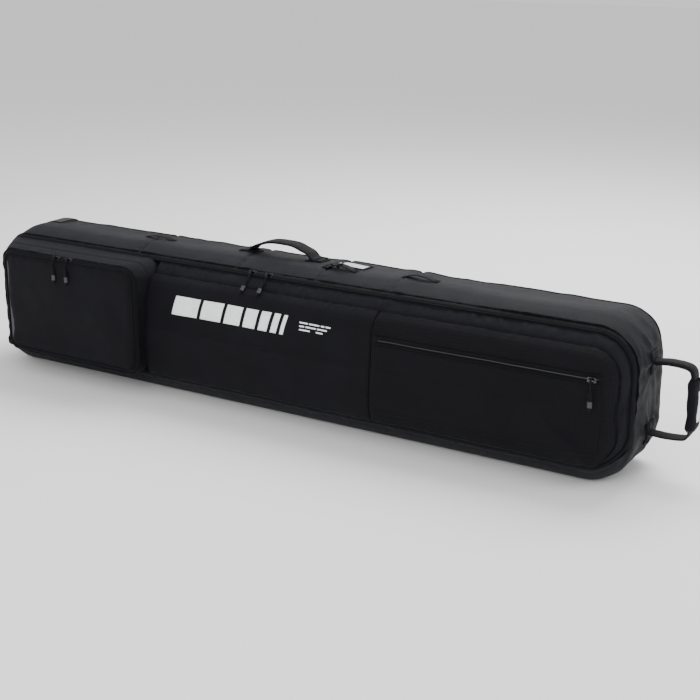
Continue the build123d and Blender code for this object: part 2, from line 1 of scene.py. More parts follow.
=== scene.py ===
# %% [markdown]
# # A wheeled snowboard bag
# The bag is a long padded box of black coated cloth that stands on its long edge. A tub (top gusset,
# bottom gusset, two ends and a flat back) is closed by a lid that unzips all the way round. We build
# it as a sewer would: panel by panel, then zips, webbing, hardware and print.
#
# The CAD frame already holds every size and every moving body. We only dress it, in metres.

# %% Loading the frame
import json
import math

import bmesh
import bpy
import numpy as np
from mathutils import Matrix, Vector, noise
from mathutils.bvhtree import BVHTree


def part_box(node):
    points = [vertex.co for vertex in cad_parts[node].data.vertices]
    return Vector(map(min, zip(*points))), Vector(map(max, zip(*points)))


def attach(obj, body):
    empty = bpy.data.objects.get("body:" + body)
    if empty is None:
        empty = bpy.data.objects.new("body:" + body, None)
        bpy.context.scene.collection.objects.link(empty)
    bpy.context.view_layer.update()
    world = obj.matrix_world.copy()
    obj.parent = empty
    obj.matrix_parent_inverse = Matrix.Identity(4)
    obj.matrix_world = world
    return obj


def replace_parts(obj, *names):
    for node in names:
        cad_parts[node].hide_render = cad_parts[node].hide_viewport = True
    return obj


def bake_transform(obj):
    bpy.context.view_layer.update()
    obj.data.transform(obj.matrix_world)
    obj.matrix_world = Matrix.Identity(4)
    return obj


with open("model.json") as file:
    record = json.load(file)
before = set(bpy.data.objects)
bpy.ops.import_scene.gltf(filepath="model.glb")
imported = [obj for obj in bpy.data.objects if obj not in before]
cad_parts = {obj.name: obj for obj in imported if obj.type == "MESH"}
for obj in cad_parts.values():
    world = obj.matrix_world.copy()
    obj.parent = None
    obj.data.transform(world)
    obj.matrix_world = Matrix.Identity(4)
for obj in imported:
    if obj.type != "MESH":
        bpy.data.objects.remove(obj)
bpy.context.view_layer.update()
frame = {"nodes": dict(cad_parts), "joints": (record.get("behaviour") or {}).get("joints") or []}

# %% [markdown]
# ## Measures that everything hangs on
# The body's box comes from the CAD panels. All the rest is read from the node that it belongs to, so
# a seam in cloth and its seam in CAD stay in the same place.

# %% Reading the body's measures
back_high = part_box("back_panel")[1]
end_low, end_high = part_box("handle_end_panel")
wheel_low, wheel_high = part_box("wheel_end_panel")
band_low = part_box("lid_side_band")[0]
face_low, face_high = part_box("lid_main_panel")

LEFT, RIGHT = wheel_low.x, end_high.x
TOP = back_high.z
BACK = back_high.y
FACE = face_low.y
ZIP_Y = (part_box("main_zip_tape_tub")[0].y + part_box("main_zip_tape_lid")[1].y) / 2
LID_SEAM_Y = band_low.y
GIRTH_X = face_high.x
WHEEL_CORNER = wheel_high.x - wheel_low.x
HANDLE_CORNER = end_high.x - end_low.x
WALL = 0.0126
print("body", round(RIGHT - LEFT, 3), "long,", round(TOP, 3), "high,", round(BACK - FACE, 3), "deep")

# %% [markdown]
# ## Camera, floor and light
# A 70 mm lens from the front right and a little above shows the front panel, the top gusset and the
# end with the tow handle. Wide softboxes suit black cloth: it shows its shape only by the light that
# grazes it, so one box hangs over the back edge and one fills the front.

# %% Placing the camera
camera_data = bpy.data.cameras.new("camera")
camera_data.lens = 70.0
camera_data.sensor_width = 36.0
camera = bpy.data.objects.new("camera", camera_data)
bpy.context.scene.collection.objects.link(camera)
CAMERA_TURN = math.radians(31.55)
CAMERA_DOWN = math.radians(17.88)
look = Vector((
    -math.sin(CAMERA_TURN) * math.cos(CAMERA_DOWN),
    math.cos(CAMERA_TURN) * math.cos(CAMERA_DOWN),
    -math.sin(CAMERA_DOWN),
))
camera.location = (1.699, -2.516, 1.116)
camera.rotation_mode = "QUATERNION"
camera.rotation_quaternion = look.to_track_quat("-Z", "Y")
bpy.context.scene.camera = camera


# %% Laying the floor and hanging the lights
def softbox(name, place, aim, size, power):
    """A square area light at a place, turned towards a point."""
    data = bpy.data.lights.new(name, "AREA")
    data.size = size
    data.energy = power
    lamp = bpy.data.objects.new(name, data)
    lamp.location = place
    lamp.rotation_mode = "QUATERNION"
    lamp.rotation_quaternion = (Vector(aim) - Vector(place)).to_track_quat("-Z", "Y")
    bpy.context.scene.collection.objects.link(lamp)


def make_floor():
    """A wide pale floor under the bag."""
    half = 14.0
    mesh = bpy.data.meshes.new("floor")
    corners = [(-half, -half, 0), (half, -half, 0), (half, half, 0), (-half, half, 0)]
    mesh.from_pydata(corners, [], [(0, 1, 2, 3)])
    floor = bpy.data.objects.new("floor", mesh)
    bpy.context.scene.collection.objects.link(floor)
    paint = bpy.data.materials.new("floor_paint")
    paint.use_nodes = True
    surface = paint.node_tree.nodes["Principled BSDF"]
    surface.inputs["Base Color"].default_value = (0.93, 0.93, 0.93, 1)
    surface.inputs["Roughness"].default_value = 0.9
    mesh.materials.append(paint)


make_floor()
middle = ((LEFT + RIGHT) / 2, 0.0, TOP / 2)
softbox("key_over_back", (0.2, 1.7, 2.6), middle, 2.2, 110)
softbox("fill_front", (0.4, -3.2, 1.6), middle, 2.6, 60)
softbox("right_side", (3.0, 0.6, 1.6), middle, 1.4, 18)
world = bpy.data.worlds.new("studio")
world.use_nodes = True
world.node_tree.nodes["Background"].inputs["Color"].default_value = (1, 1, 1, 1)
world.node_tree.nodes["Background"].inputs["Strength"].default_value = 0.9
bpy.context.scene.world = world

# %% [markdown]
# ## Materials
# Nearly everything is black, so the finishes have to differ in weave and gloss. Each material is a
# small set of nodes fed by the mesh's own UV map, which holds metres along and across the cloth. That
# keeps the weave in line with each panel's grain, and lets the same recipe serve every scale.


# %% A short way to wire nodes
class Recipe:
    """A material whose nodes are added one by one and wired into one surface shader."""

    def __init__(self, name, colour, roughness, specular=0.3):
        self.material = bpy.data.materials.new(name)
        self.material.use_nodes = True
        self.tree = self.material.node_tree
        self.surface = self.tree.nodes["Principled BSDF"]
        self.set("Base Color", (*colour, 1.0))
        self.set("Roughness", roughness)
        self.set("Specular IOR Level", specular)

    def set(self, socket, value):
        self.surface.inputs[socket].default_value = value

    def add(self, kind, settings=(), **inputs):
        """A node with its settings, and with inputs set to a value or wired to another output."""
        node = self.tree.nodes.new(kind)
        for key, value in settings:
            setattr(node, key, value)
        for key, value in inputs.items():
            socket = node.inputs[int(key[1:])] if key[1:].isdigit() else node.inputs[key]
            if isinstance(value, bpy.types.NodeSocket):
                self.tree.links.new(value, socket)
            else:
                socket.default_value = value
        return node.outputs[0]

    def math(self, operation, a, b=0.0):
        return self.add("ShaderNodeMath", [("operation", operation)], _0=a, _1=b)

    def wire(self, output, socket):
        self.tree.links.new(output, self.surface.inputs[socket])

    def bump(self, height, distance, strength=1.0):
        node = self.add("ShaderNodeBump", Height=height, Distance=distance, Strength=strength)
        self.wire(node, "Normal")

    def uv(self, axis):
        """Metres along (0) or across (1) the cloth."""
        source = self.tree.nodes.new("ShaderNodeUVMap")
        split = self.tree.nodes.new("ShaderNodeSeparateXYZ")
        self.tree.links.new(source.outputs[0], split.inputs[0])
        return split.outputs[axis]

    def place(self):
        """The point in the object's own space, for finishes with no grain."""
        node = self.tree.nodes.new("ShaderNodeTexCoord")
        return node.outputs["Object"]

    def waves(self, axis, pitch):
        """A ridge every pitch metres, from -1 to 1."""
        return self.math("SINE", self.math("MULTIPLY", self.uv(axis), 2 * math.pi / pitch))

    def mottle(self, scale, detail=3.0):
        """Soft noise from 0 to 1."""
        return self.add(
            "ShaderNodeTexNoise", Vector=self.place(), Scale=scale, Detail=detail, Roughness=0.55
        )

    def two_tone(self, factor, dark, light):
        """Colour between two tones by a factor."""
        mix = self.tree.nodes.new("ShaderNodeMix")
        mix.data_type = "RGBA"
        self.tree.links.new(factor, mix.inputs[0])
        mix.inputs[6].default_value = (*dark, 1.0)
        mix.inputs[7].default_value = (*light, 1.0)
        self.wire(mix.outputs[2], "Base Color")


# %% [markdown]
# ### Woven cloth
# A plain weave is two sets of threads that take turns to be on top. Multiplying the two sine waves
# gives that over-and-under pattern; absolute values would give a net instead. Larger noise adds the
# faint cloudiness of coated polyester, and a little sheen lifts the edges.


# %% Cloth recipes
def shades(colour, spread):
    """A darker and a lighter tone round a colour."""
    return tuple(c * (1 - spread) for c in colour), tuple(c * (1 + spread) for c in colour)


def woven(name, colour, pitch, roughness=0.72, sheen=0.1, rip=0.0, specular=0.06):
    """Plain-woven coated cloth; rip is the spacing of ripstop's thicker threads."""
    cloth = Recipe(name, colour, roughness, specular)
    weave = cloth.math("MULTIPLY", cloth.waves(0, pitch), cloth.waves(1, pitch * 1.12))
    cloud = cloth.mottle(9.0)
    grain = cloth.mottle(1400.0, 1.0)
    tone = cloth.math("ADD", cloth.math("MULTIPLY", cloud, 0.7), cloth.math("MULTIPLY", grain, 0.3))
    height = cloth.math("ADD", weave, cloth.math("MULTIPLY", grain, 0.6))
    if rip:
        lines = cloth.math("MAXIMUM", cloth.waves(0, rip), cloth.waves(1, rip))
        lines = cloth.math("POWER", cloth.math("MAXIMUM", lines, 0.0), 14.0)
        tone = cloth.math("ADD", tone, cloth.math("MULTIPLY", lines, 0.55))
        height = cloth.math("ADD", height, cloth.math("MULTIPLY", lines, 1.6))
    cloth.two_tone(tone, *shades(colour, 0.55))
    rough = cloth.math("ADD", cloth.math("MULTIPLY", cloud, 0.16), roughness - 0.08)
    cloth.wire(rough, "Roughness")
    cloth.bump(height, pitch * 0.22, 0.7)
    cloth.set("Sheen Weight", sheen)
    cloth.set("Sheen Roughness", 0.45)
    cloth.set("Sheen Tint", (0.75, 0.78, 0.9, 1.0))
    return cloth.material


def ribbed_webbing(name, colour, rib=0.0021):
    """Tightly woven tape with ribs along its length."""
    tape = Recipe(name, colour, 0.60, 0.10)
    ribs = tape.waves(1, rib)
    picks = tape.math("MULTIPLY", tape.waves(0, 0.0013), 0.5)
    fuzz = tape.mottle(900.0, 2.0)
    height = tape.math("ADD", tape.math("ADD", ribs, picks), fuzz)
    tape.two_tone(fuzz, *shades(colour, 0.5))
    tape.bump(height, 0.00035, 0.8)
    tape.set("Sheen Weight", 0.02)
    return tape.material


BLACK = (0.0070, 0.0069, 0.0090)
CLOTH = woven("coated_polyester", BLACK, 0.0011, 0.60, 0.02)
# The gusset cloth is the front's black polyester with its base painted a little lighter and bluer: painted
# light, as the top gusset catches the light from above. It covers the whole tub wall and the lid's band.
GUSSET_CLOTH_PAINTED_LIGHTER = woven("gusset_polyester_painted_lighter", (0.0072, 0.0073, 0.0098), 0.0011, 0.55, 0.03, specular=0.10)
RIPSTOP = woven("ripstop_polyester", (0.0058, 0.0057, 0.0074), 0.0009, 0.62, 0.02, rip=0.0060)
LINING = woven("lining_taffeta", (0.11, 0.113, 0.125), 0.0006, 0.5, 0.1, specular=0.3)
BINDING = woven("edge_binding", (0.0050, 0.0050, 0.0062), 0.0008, 0.6, 0.04)
ZIP_TAPE = ribbed_webbing("zip_tape", (0.0070, 0.0071, 0.0095), 0.0008)
WEBBING = ribbed_webbing("webbing", (0.0070, 0.0070, 0.0086))
THREAD = ribbed_webbing("thread", (0.0090, 0.0090, 0.0112), 0.0004)
print("cloth materials", len(bpy.data.materials))

# %% [markdown]
# ### Hard finishes
# The sliders are lacquered metal with bright edges, the grips are satin moulded plastic, and the
# wheel tray has the pebbled skin of a luggage moulding. The paler tone on the edges of sliders and grips
# comes from the mesh's own pointiness, so it needs no image map; it is partly wear, partly a painted
# highlight.


# %% Hard recipes
def moulded(name, colour, roughness, grain_scale, grain_depth, edge_wear_and_highlight=None):
    """Plastic, rubber or lacquer with a fine grain; given an edge colour, sharp edges get a paler tone,
    partly wear and partly a painted highlight.
    """
    part = Recipe(name, colour, roughness, 0.45)
    grain = part.mottle(grain_scale, 4.0)
    part.bump(grain, grain_depth, 0.6)
    tone = part.mottle(60.0)
    light = shades(colour, 0.3)[1]
    # Sharp edges are painted paler by pointiness: partly wear, partly a painted highlight.
    if edge_wear_and_highlight:
        light = edge_wear_and_highlight
        edges = part.tree.nodes.new("ShaderNodeNewGeometry").outputs["Pointiness"]
        sharp = part.math("SUBTRACT", edges, 0.52)
        tone = part.math("MINIMUM", part.math("MAXIMUM", part.math("MULTIPLY", sharp, 9.0), 0.0), 1.0)
    part.two_tone(tone, shades(colour, 0.15)[0], light)
    rough = part.math("ADD", part.math("MULTIPLY", part.mottle(180.0), 0.2), roughness - 0.1)
    part.wire(rough, "Roughness")
    return part.material


# The last colour of the grip and the lacquer is their paler edge: partly wear, partly a painted highlight.
GRIP = moulded("grip_plastic", (0.028, 0.029, 0.033), 0.38, 900.0, 0.0002, (0.09, 0.09, 0.095))
TRAY = moulded("tray_plastic", (0.009, 0.009, 0.010), 0.60, 700.0, 0.0005)
URETHANE = moulded("wheel_urethane", (0.03, 0.03, 0.032), 0.6, 300.0, 0.0003)
LACQUER = moulded("slider_lacquer", (0.012, 0.012, 0.014), 0.30, 1500.0, 0.0001, (0.09, 0.09, 0.095))
COIL = moulded("coil_nylon", (0.012, 0.012, 0.013), 0.35, 800.0, 0.0001)
STEEL = moulded("plated_steel", (0.55, 0.55, 0.56), 0.3, 600.0, 0.0001)
LACQUER.node_tree.nodes["Principled BSDF"].inputs["Metallic"].default_value = 0.7
STEEL.node_tree.nodes["Principled BSDF"].inputs["Metallic"].default_value = 1.0
FOAM = moulded("padding_foam", (0.06, 0.06, 0.065), 0.9, 500.0, 0.0006)
PRINT = moulded("white_print", (0.80, 0.81, 0.83), 0.5, 1200.0, 0.00008)
CARD = moulded("pale_card", (0.66, 0.68, 0.72), 0.6, 500.0, 0.00008)
FILM = moulded("clear_film", (0.85, 0.87, 0.92), 0.16, 200.0, 0.0001)
FILM.node_tree.nodes["Principled BSDF"].inputs["Alpha"].default_value = 0.35

# %% [markdown]
# ## Cords of the zip pulls
# Each pull is a loop of thin braided cord that passes under the slider's bridge, with both ends in a
# moulded grip. The loop is a NURBS spline through the same few points as its CAD tube. The boot
# pocket's cords bend over the pocket's front edge before they hang; the others are straight.

# %% Routes of the cords, in metres from the bridge bar
CORD_DIAMETER = 0.0024
STRAIGHT_ROUTE = (
    (-0.0016, -0.0240), (-0.0016, -0.0155), (-0.0028, -0.0080), (-0.0028, 0.0028),
    (0.0028, 0.0028), (0.0028, -0.0080), (0.0016, -0.0155), (0.0016, -0.0240),
)
BENT_ROUTE = (
    (-0.0131, -0.0240), (-0.0131, -0.0140), (-0.0068, -0.0020), (0.0003, 0.0039),
    (0.0039, -0.0003), (-0.0032, -0.0063), (-0.0099, -0.0160), (-0.0099, -0.0240),
)
MAIN_LEAN = math.radians(50.0)
PULLS = {
    "main_left": (STRAIGHT_ROUTE, MAIN_LEAN),
    "main_right": (STRAIGHT_ROUTE, MAIN_LEAN),
    "boot_left": (BENT_ROUTE, 0.0),
    "boot_right": (BENT_ROUTE, 0.0),
    "flat": (STRAIGHT_ROUTE, 0.0),
}


def joint_place(name):
    """Where a hinge of the frame sits, in metres."""
    found = [j for j in frame["joints"] if j["name"] == name]
    return Vector(found[0]["pos_m"])


def lean(point, angle):
    """A point in Y and Z, turned towards the front of the bag."""
    y, z = point
    return y * math.cos(angle) + z * math.sin(angle), -y * math.sin(angle) + z * math.cos(angle)


# %% Making the cords
def pull_cord(name, route, angle):
    """A round cord along the route; gives back about its length."""
    eye = joint_place(f"{name}_pull_swing")
    points = []
    for place in route:
        y, z = lean(place, angle)
        points.append(eye + Vector((0.0, y, z)))
    data = bpy.data.curves.new(f"{name}_cord", "CURVE")
    data.dimensions = "3D"
    data.bevel_depth = CORD_DIAMETER / 2
    data.bevel_resolution = 4
    data.resolution_u = 10
    spline = data.splines.new("NURBS")
    spline.points.add(len(points) - 1)
    for control, place in zip(spline.points, points):
        control.co = (*place, 1.0)
    spline.order_u = 3
    spline.use_endpoint_u = True
    data.materials.append(WEBBING)
    cord = bpy.data.objects.new(f"{name}_cord", data)
    bpy.context.scene.collection.objects.link(cord)
    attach(cord, f"{name}_pull")
    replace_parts(cord, f"{name}_pull_cord")
    length = sum((b - a).length for a, b in zip(points, points[1:])) * 0.93
    return length


for name, (route, angle) in PULLS.items():
    print(name, "cord", round(pull_cord(name, route, angle), 4), "m")

# %% [markdown]
# ## Tools for sewing panels
# Cloth panels are grids of points that we work out as arrays and turn into meshes. Three helpers do
# most of the work: one runs a smooth line through a few stations, one turns a grid into a mesh with a
# UV map in metres, and one lifts a grid along its own normals to puff or wrinkle it.


# %% Grids to meshes
def smooth_rows(stations, count):
    """Rows that run smoothly through a few stations, as a Catmull-Rom line does."""
    stations = np.asarray(stations, float)
    padded = np.concatenate([2 * stations[:1] - stations[1:2], stations, 2 * stations[-1:] - stations[-2:-1]])
    rows = []
    for t in np.linspace(0, len(stations) - 1, count):
        k = min(int(t), len(stations) - 2)
        f = t - k
        a, b, c, d = padded[k:k + 4]
        rows.append(0.5 * (2 * b + (c - a) * f + (2 * a - 5 * b + 4 * c - d) * f**2
                           + (3 * b - a - 3 * c + d) * f**3))
    return np.array(rows)


def grid_normals(points, closed=False):
    """Unit normals of a grid of points, from the differences along and across it."""
    along = np.gradient(points, axis=1)
    if closed:
        along = (np.roll(points, -1, axis=1) - np.roll(points, 1, axis=1)) / 2
    across = np.gradient(points, axis=0)
    normal = np.cross(along, across)
    return normal / np.maximum(np.linalg.norm(normal, axis=2, keepdims=True), 1e-12)


def metres(points):
    """Metres along and across a grid, for its UV map."""
    step_u = np.linalg.norm(np.diff(points, axis=1), axis=2).mean(axis=0)
    step_v = np.linalg.norm(np.diff(points, axis=0), axis=2).mean(axis=1)
    u = np.concatenate([[0], np.cumsum(step_u)])
    v = np.concatenate([[0], np.cumsum(step_v)])
    return np.stack(np.meshgrid(u, v), axis=2)


def link(mesh, name, material):
    """A shown object from a mesh, smooth shaded."""
    mesh.materials.append(material)
    mesh.shade_smooth()
    thing = bpy.data.objects.new(name, mesh)
    bpy.context.scene.collection.objects.link(thing)
    return thing


def sheet_mesh(name, points, material, closed=False, keep=None, flip=False):
    """A mesh from a grid of points; keep says which of its faces stay, by their middles."""
    if closed:
        points = np.concatenate([points, points[:, :1]], axis=1)
    rows, columns, _ = points.shape
    uv = metres(points).reshape(-1, 2)
    flat = points.reshape(-1, 3)
    quads = []
    for j in range(rows - 1):
        for i in range(columns - 1):
            a = j * columns + i
            quads.append((a, a + 1, a + columns + 1, a + columns))
    quads = np.array(quads)
    if keep is not None:
        quads = quads[keep(flat[quads].mean(axis=1))]
    if flip:
        quads = quads[:, ::-1]
    used, quads = np.unique(quads, return_inverse=True)
    quads = quads.reshape(-1, 4)
    mesh = bpy.data.meshes.new(name)
    mesh.from_pydata(flat[used].tolist(), [], quads.tolist())
    layer = mesh.uv_layers.new(name="UVMap")
    layer.data.foreach_set("uv", uv[used][quads.reshape(-1)].astype(np.float32).ravel())
    return link(mesh, name, material)


def thicken(thing, thickness, offset=-1.0):
    """Real cloth thickness, put on the inner side."""
    modifier = thing.modifiers.new("thickness", "SOLIDIFY")
    modifier.thickness = thickness
    modifier.offset = offset
    modifier.use_rim = True


def finish_piece(thing, body, slot, *nodes):
    """The piece rides on its body and stands for CAD nodes; its slot is not used."""
    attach(thing, body)
    if nodes:
        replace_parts(thing, *nodes)
    print(thing.name, len(thing.data.vertices) if thing.type == "MESH" else "curve")
    return thing


# %% [markdown]
# ### Wrinkles
# A padded panel is never flat. It lies in broad soft waves, and beside a seam the thread draws the
# cloth into small puckers that fade within a few centimetres. Both are smooth noise: stretched along
# the seam's own direction for the waves, and short along it for the puckers.


# %% Noise for cloth
def soft_noise(points, size, seed):
    """Noise between about -1 and 1 at each point of a grid, for features of a size in X, Y and Z."""
    scaled = points / np.array(size) + seed * 7.31
    flat = scaled.reshape(-1, 3)
    values = np.fromiter((noise.noise(Vector(p)) for p in flat), float, len(flat))
    return values.reshape(points.shape[:-1]) * 1.6


def near(distance, reach):
    """1 at a seam, fading to 0 within a few times its reach."""
    return np.exp(-np.abs(distance) / reach)


def groove(distance, width):
    """A narrow dip centred on a seam."""
    return np.exp(-(distance / width) ** 2)


# %% [markdown]
# ## The outline that the bag is built on
# From the front every ring of the bag (zip, seams, back edge) is a rectangle with rounded corners. We
# give each ring by how far it lies in from the CAD box at the top, at the ends and at the bottom, and
# by its depth in Y at those three places. The long sides are cut at fixed X, so that a seam that
# crosses the bag always falls on a column of the grid.

# %% Rings round the bag
TRAY_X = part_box("wheel_tray")[1].x
POCKET_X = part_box("boot_pocket_walls")[1].x
LONG_STOPS = (TRAY_X, POCKET_X, GIRTH_X)
LONG_STEPS = (8, 96, 140, 120)
END_STEPS = 34
CORNER_STEPS = 16


def outline(x0, x1, z0, z1, radii):
    """Points and outward directions round a rounded rectangle, from the bottom left corner on."""
    lower_left, lower_right, upper_right, upper_left = radii
    places, ways = [], []

    def run(stops, level, way, counts):
        for start, stop, steps in zip(stops, stops[1:], counts):
            for t in np.linspace(0, 1, steps, endpoint=False):
                along = start + (stop - start) * t
                places.append((along, level) if way[0] == 0 else (level, along))
                ways.append(way)

    def turn(centre, radius, first):
        for t in np.linspace(0, 1, CORNER_STEPS, endpoint=False):
            angle = math.radians(first + 90 * t)
            way = (math.cos(angle), math.sin(angle))
            places.append((centre[0] + radius * way[0], centre[1] + radius * way[1]))
            ways.append(way)

    def stops_between(start, stop):
        inner = [min(max(x, start + 0.002 * k), stop) for k, x in enumerate(LONG_STOPS, 1)]
        return [start, *inner, stop]

    run(stops_between(x0 + lower_left, x1 - lower_right), z0, (0, -1), LONG_STEPS)
    turn((x1 - lower_right, z0 + lower_right), lower_right, -90)
    run([z0 + lower_right, z1 - upper_right], x1, (1, 0), [END_STEPS])
    turn((x1 - upper_right, z1 - upper_right), upper_right, 0)
    run(stops_between(x0 + upper_left, x1 - upper_right)[::-1], z1, (0, 1), LONG_STEPS[::-1])
    turn((x0 + upper_left, z1 - upper_left), upper_left, 90)
    run([z1 - upper_left, z0 + lower_left], x0, (-1, 0), [END_STEPS])
    turn((x0 + lower_left, z0 + lower_left), lower_left, 180)
    return np.array(places), np.array(ways, float)


def ring(top, end, bottom):
    """A closed ring of the bag: (inset, depth) at the top, at the ends and at the bottom."""
    upper = (top[0] + end[0]) / 2
    lower = (bottom[0] + end[0]) / 2
    half_height = (TOP - top[0] - bottom[0]) / 2
    radii = [min(max(r, 0.010), half_height) for r in (
        WHEEL_CORNER - lower, HANDLE_CORNER - lower, HANDLE_CORNER - upper, WHEEL_CORNER - upper)]
    places, ways = outline(LEFT + end[0], RIGHT - end[0], bottom[0], TOP - top[0], radii)
    up = np.clip(ways[:, 1], 0, 1) ** 2
    down = np.clip(-ways[:, 1], 0, 1) ** 2
    depth = up * top[1] + ways[:, 0] ** 2 * end[1] + down * bottom[1]
    return np.stack([places[:, 0], depth, places[:, 1]], axis=1)


class Panel:
    """A grid of points on cloth, with its outward directions and metres across its rows."""

    def __init__(self, points, centre=(0.0, 0.0, 0.17), closed=True):
        self.points = points
        self.closed = closed
        self.out = grid_normals(points, closed)
        self.flip = float(np.sum(self.out * (points - np.array(centre)))) < 0
        if self.flip:
            self.out = -self.out
        step = np.linalg.norm(np.diff(points, axis=0), axis=2).mean(axis=1)
        self.arc = np.concatenate([[0], np.cumsum(step)])

    def raised(self, height):
        """The grid pushed out by a height at each point."""
        return self.points + self.out * (np.zeros(self.points.shape[:2]) + height)[..., None]


def loft(rings, steps):
    """A smooth panel through rings, with some steps between each two of them."""
    return Panel(smooth_rows([ring(*each) for each in rings], (len(rings) - 1) * steps + 1))


hinge = joint_place("lid_hinge")
print("points round the bag", len(ring((0, 0), (0, 0), (0, 0))))

# %% [markdown]
# ## The tub's walls
# The gusset is highest a little behind the middle and falls away to the zip in front and to the back
# edge behind. It was sewn from several lengths, so four cross seams draw it in. The end with the tow
# handle is slacker: the webbing pulls at its two patches and gathers the cloth in folds round them.

# %% Shaping the gusset
TRAY_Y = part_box("wheel_tray")[0].y
ANCHORS = [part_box("tow_handle_patches")[0].z + 0.023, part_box("tow_handle_patches")[1].z - 0.023]
ANCHOR_Y = sum(v.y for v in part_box("tow_handle_patches")) / 2
GUSSET_STEPS = 5
gusset = loft([
    ((0.036, BACK - 0.002), (0.036, BACK - 0.002), (0.036, BACK - 0.002)),
    ((0.020, BACK - 0.004), (0.020, BACK - 0.004), (0.020, BACK - 0.004)),
    ((0.010, BACK - 0.014), (0.007, BACK - 0.014), (0.007, BACK - 0.014)),
    ((0.006, BACK - 0.034), (0.001, BACK - 0.034), (0.000, BACK - 0.034)),
    ((0.0025, TRAY_Y), (0.000, TRAY_Y), (0.000, TRAY_Y)),
    ((0.0005, 0.030), (-0.001, 0.026), (0.000, 0.020)),
    ((0.0015, 0.004), (-0.001, 0.002), (0.000, -0.012)),
    ((0.0065, -0.016), (0.000, -0.016), (0.000, -0.045)),
    ((0.0115, -0.030), (0.0005, -0.029), (0.010, -0.071)),
    ((0.0170, ZIP_Y + 0.0080), (0.002, ZIP_Y + 0.0080), (0.047, -0.107)),
], GUSSET_STEPS)
CROSS_SEAMS = (-0.420, -0.130, 0.090, GIRTH_X)
WAVE = 0.0018
PUCKER = 0.0014


def cloth_relief(panel, seams, seed, waves=WAVE, puckers=PUCKER, reach=0.014):
    """Height of broad waves, and of puckers beside seams given as metres across the rows."""
    points = panel.points
    height = soft_noise(points, (0.19, 0.08, 0.11), seed) * waves
    height += soft_noise(points, (0.055, 0.09, 0.05), seed + 3) * waves * 0.55
    small = soft_noise(points, (0.013, 0.05, 0.017), seed + 5) * puckers
    beside = sum(near(panel.arc - seam, reach) for seam in seams)
    return height + small * beside[:, None]


def cross_dips(points, width=0.0035, depth=0.0030):
    """Height lost at the cross seams, with the padding rising beside them and puckers across."""
    height = np.zeros(points.shape[:2])
    folds = soft_noise(points, (0.05, 0.013, 0.013), 31)
    for x in CROSS_SEAMS:
        away = points[:, :, 0] - x - 0.10 * np.clip(points[:, :, 1], -1, 1) * (-0.6 if x < 0 else -0.25)
        height -= depth * groove(away, width)
        height += 0.0014 * groove(np.abs(away) - 0.020, 0.018)
        height += 0.0012 * folds * near(away, 0.012)
    return height


def gathers(points):
    """Folds that radiate from the tow handle's two patches."""
    height = np.zeros(points.shape[:2])
    for k, z in enumerate(ANCHORS):
        dy = points[:, :, 1] - ANCHOR_Y
        dz = points[:, :, 2] - z
        away = np.hypot(dy, dz)
        turn = np.arctan2(dz, dy)
        drift = 1.2 * soft_noise(points, (0.05, 0.05, 0.05), 23 + k)
        folds = (np.abs(np.cos(3 * turn + k + drift)) ** 3
                 + 0.7 * np.abs(np.cos(5 * turn + 2 + k - drift)) ** 4 - 0.6)
        height += 0.0075 * folds * np.exp(-away / 0.050) * (1 - np.exp(-(away / 0.028) ** 2))
        height += 0.0040 * np.exp(-(away / 0.030) ** 2)
    slack = soft_noise(points, (0.03, 0.020, 0.09), 29) * 0.0022
    return (height + slack) * np.clip((points[:, :, 0] - 0.79) / 0.05, 0, 1)


relief = cloth_relief(gusset, [gusset.arc[3 * GUSSET_STEPS], gusset.arc[-1]], 1)
relief += cross_dips(gusset.points) * np.clip(gusset.points[:, :, 2] / TOP * 5 - 3.6, 0, 1)
relief += gathers(gusset.points)
relief *= np.clip(gusset.points[:, :, 2] / 0.03, 0, 1)
relief *= np.clip(np.arange(len(gusset.arc)) / 4, 0, 1)[:, None]
relief *= np.clip((gusset.points[:, :, 0] - TRAY_X) / 0.05, 0, 1) * 0.9 + 0.1
gusset_skin = gusset.raised(relief)


def off_tray(middles):
    """Leaves out the corner that the wheel tray fills."""
    return (middles[:, 0] > TRAY_X) | (middles[:, 1] < TRAY_Y)


# The tub's walls take the gusset cloth, whose lighter tone is painted light.
tub = sheet_mesh("tub_cover", gusset_skin, GUSSET_CLOTH_PAINTED_LIGHTER, closed=True, keep=off_tray, flip=gusset.flip)
thicken(tub, 0.0014)
finish_piece(
    tub, "root", "cover_polyester", "top_gusset", "bottom_gusset", "handle_end_panel", "wheel_end_panel",
)


# %% The flat back panel
def back_sheet(y, inset, steps=26):
    """A grid behind the bag, from the wheel tray to the rounded right end."""
    columns = []
    corner = HANDLE_CORNER - inset
    for x in np.linspace(TRAY_X, RIGHT - inset, 180):
        past = max(0.0, x - (RIGHT - inset - corner))
        cut = corner - math.sqrt(max(corner**2 - past**2, 0.0))
        columns.append([(x, y, z) for z in np.linspace(inset + cut, TOP - inset - cut, steps)])
    return np.array(columns).transpose(1, 0, 2)


back = Panel(back_sheet(BACK - 0.0015, 0.034), closed=False)
back_skin = back.raised(soft_noise(back.points, (0.2, 1, 0.1), 4) * 0.0008 - 0.0012)
panel = sheet_mesh("back_cover", back_skin, CLOTH, flip=back.flip)
thicken(panel, 0.0014)
finish_piece(panel, "root", "cover_polyester", "back_panel")

# %% [markdown]
# ### Lining and padding of the tub
# Inside there is pale taffeta over closed-cell foam. The lining follows the walls, one wall thickness
# in, and the foam shows as a dark rolled edge along the mouth where cover and lining are bound.

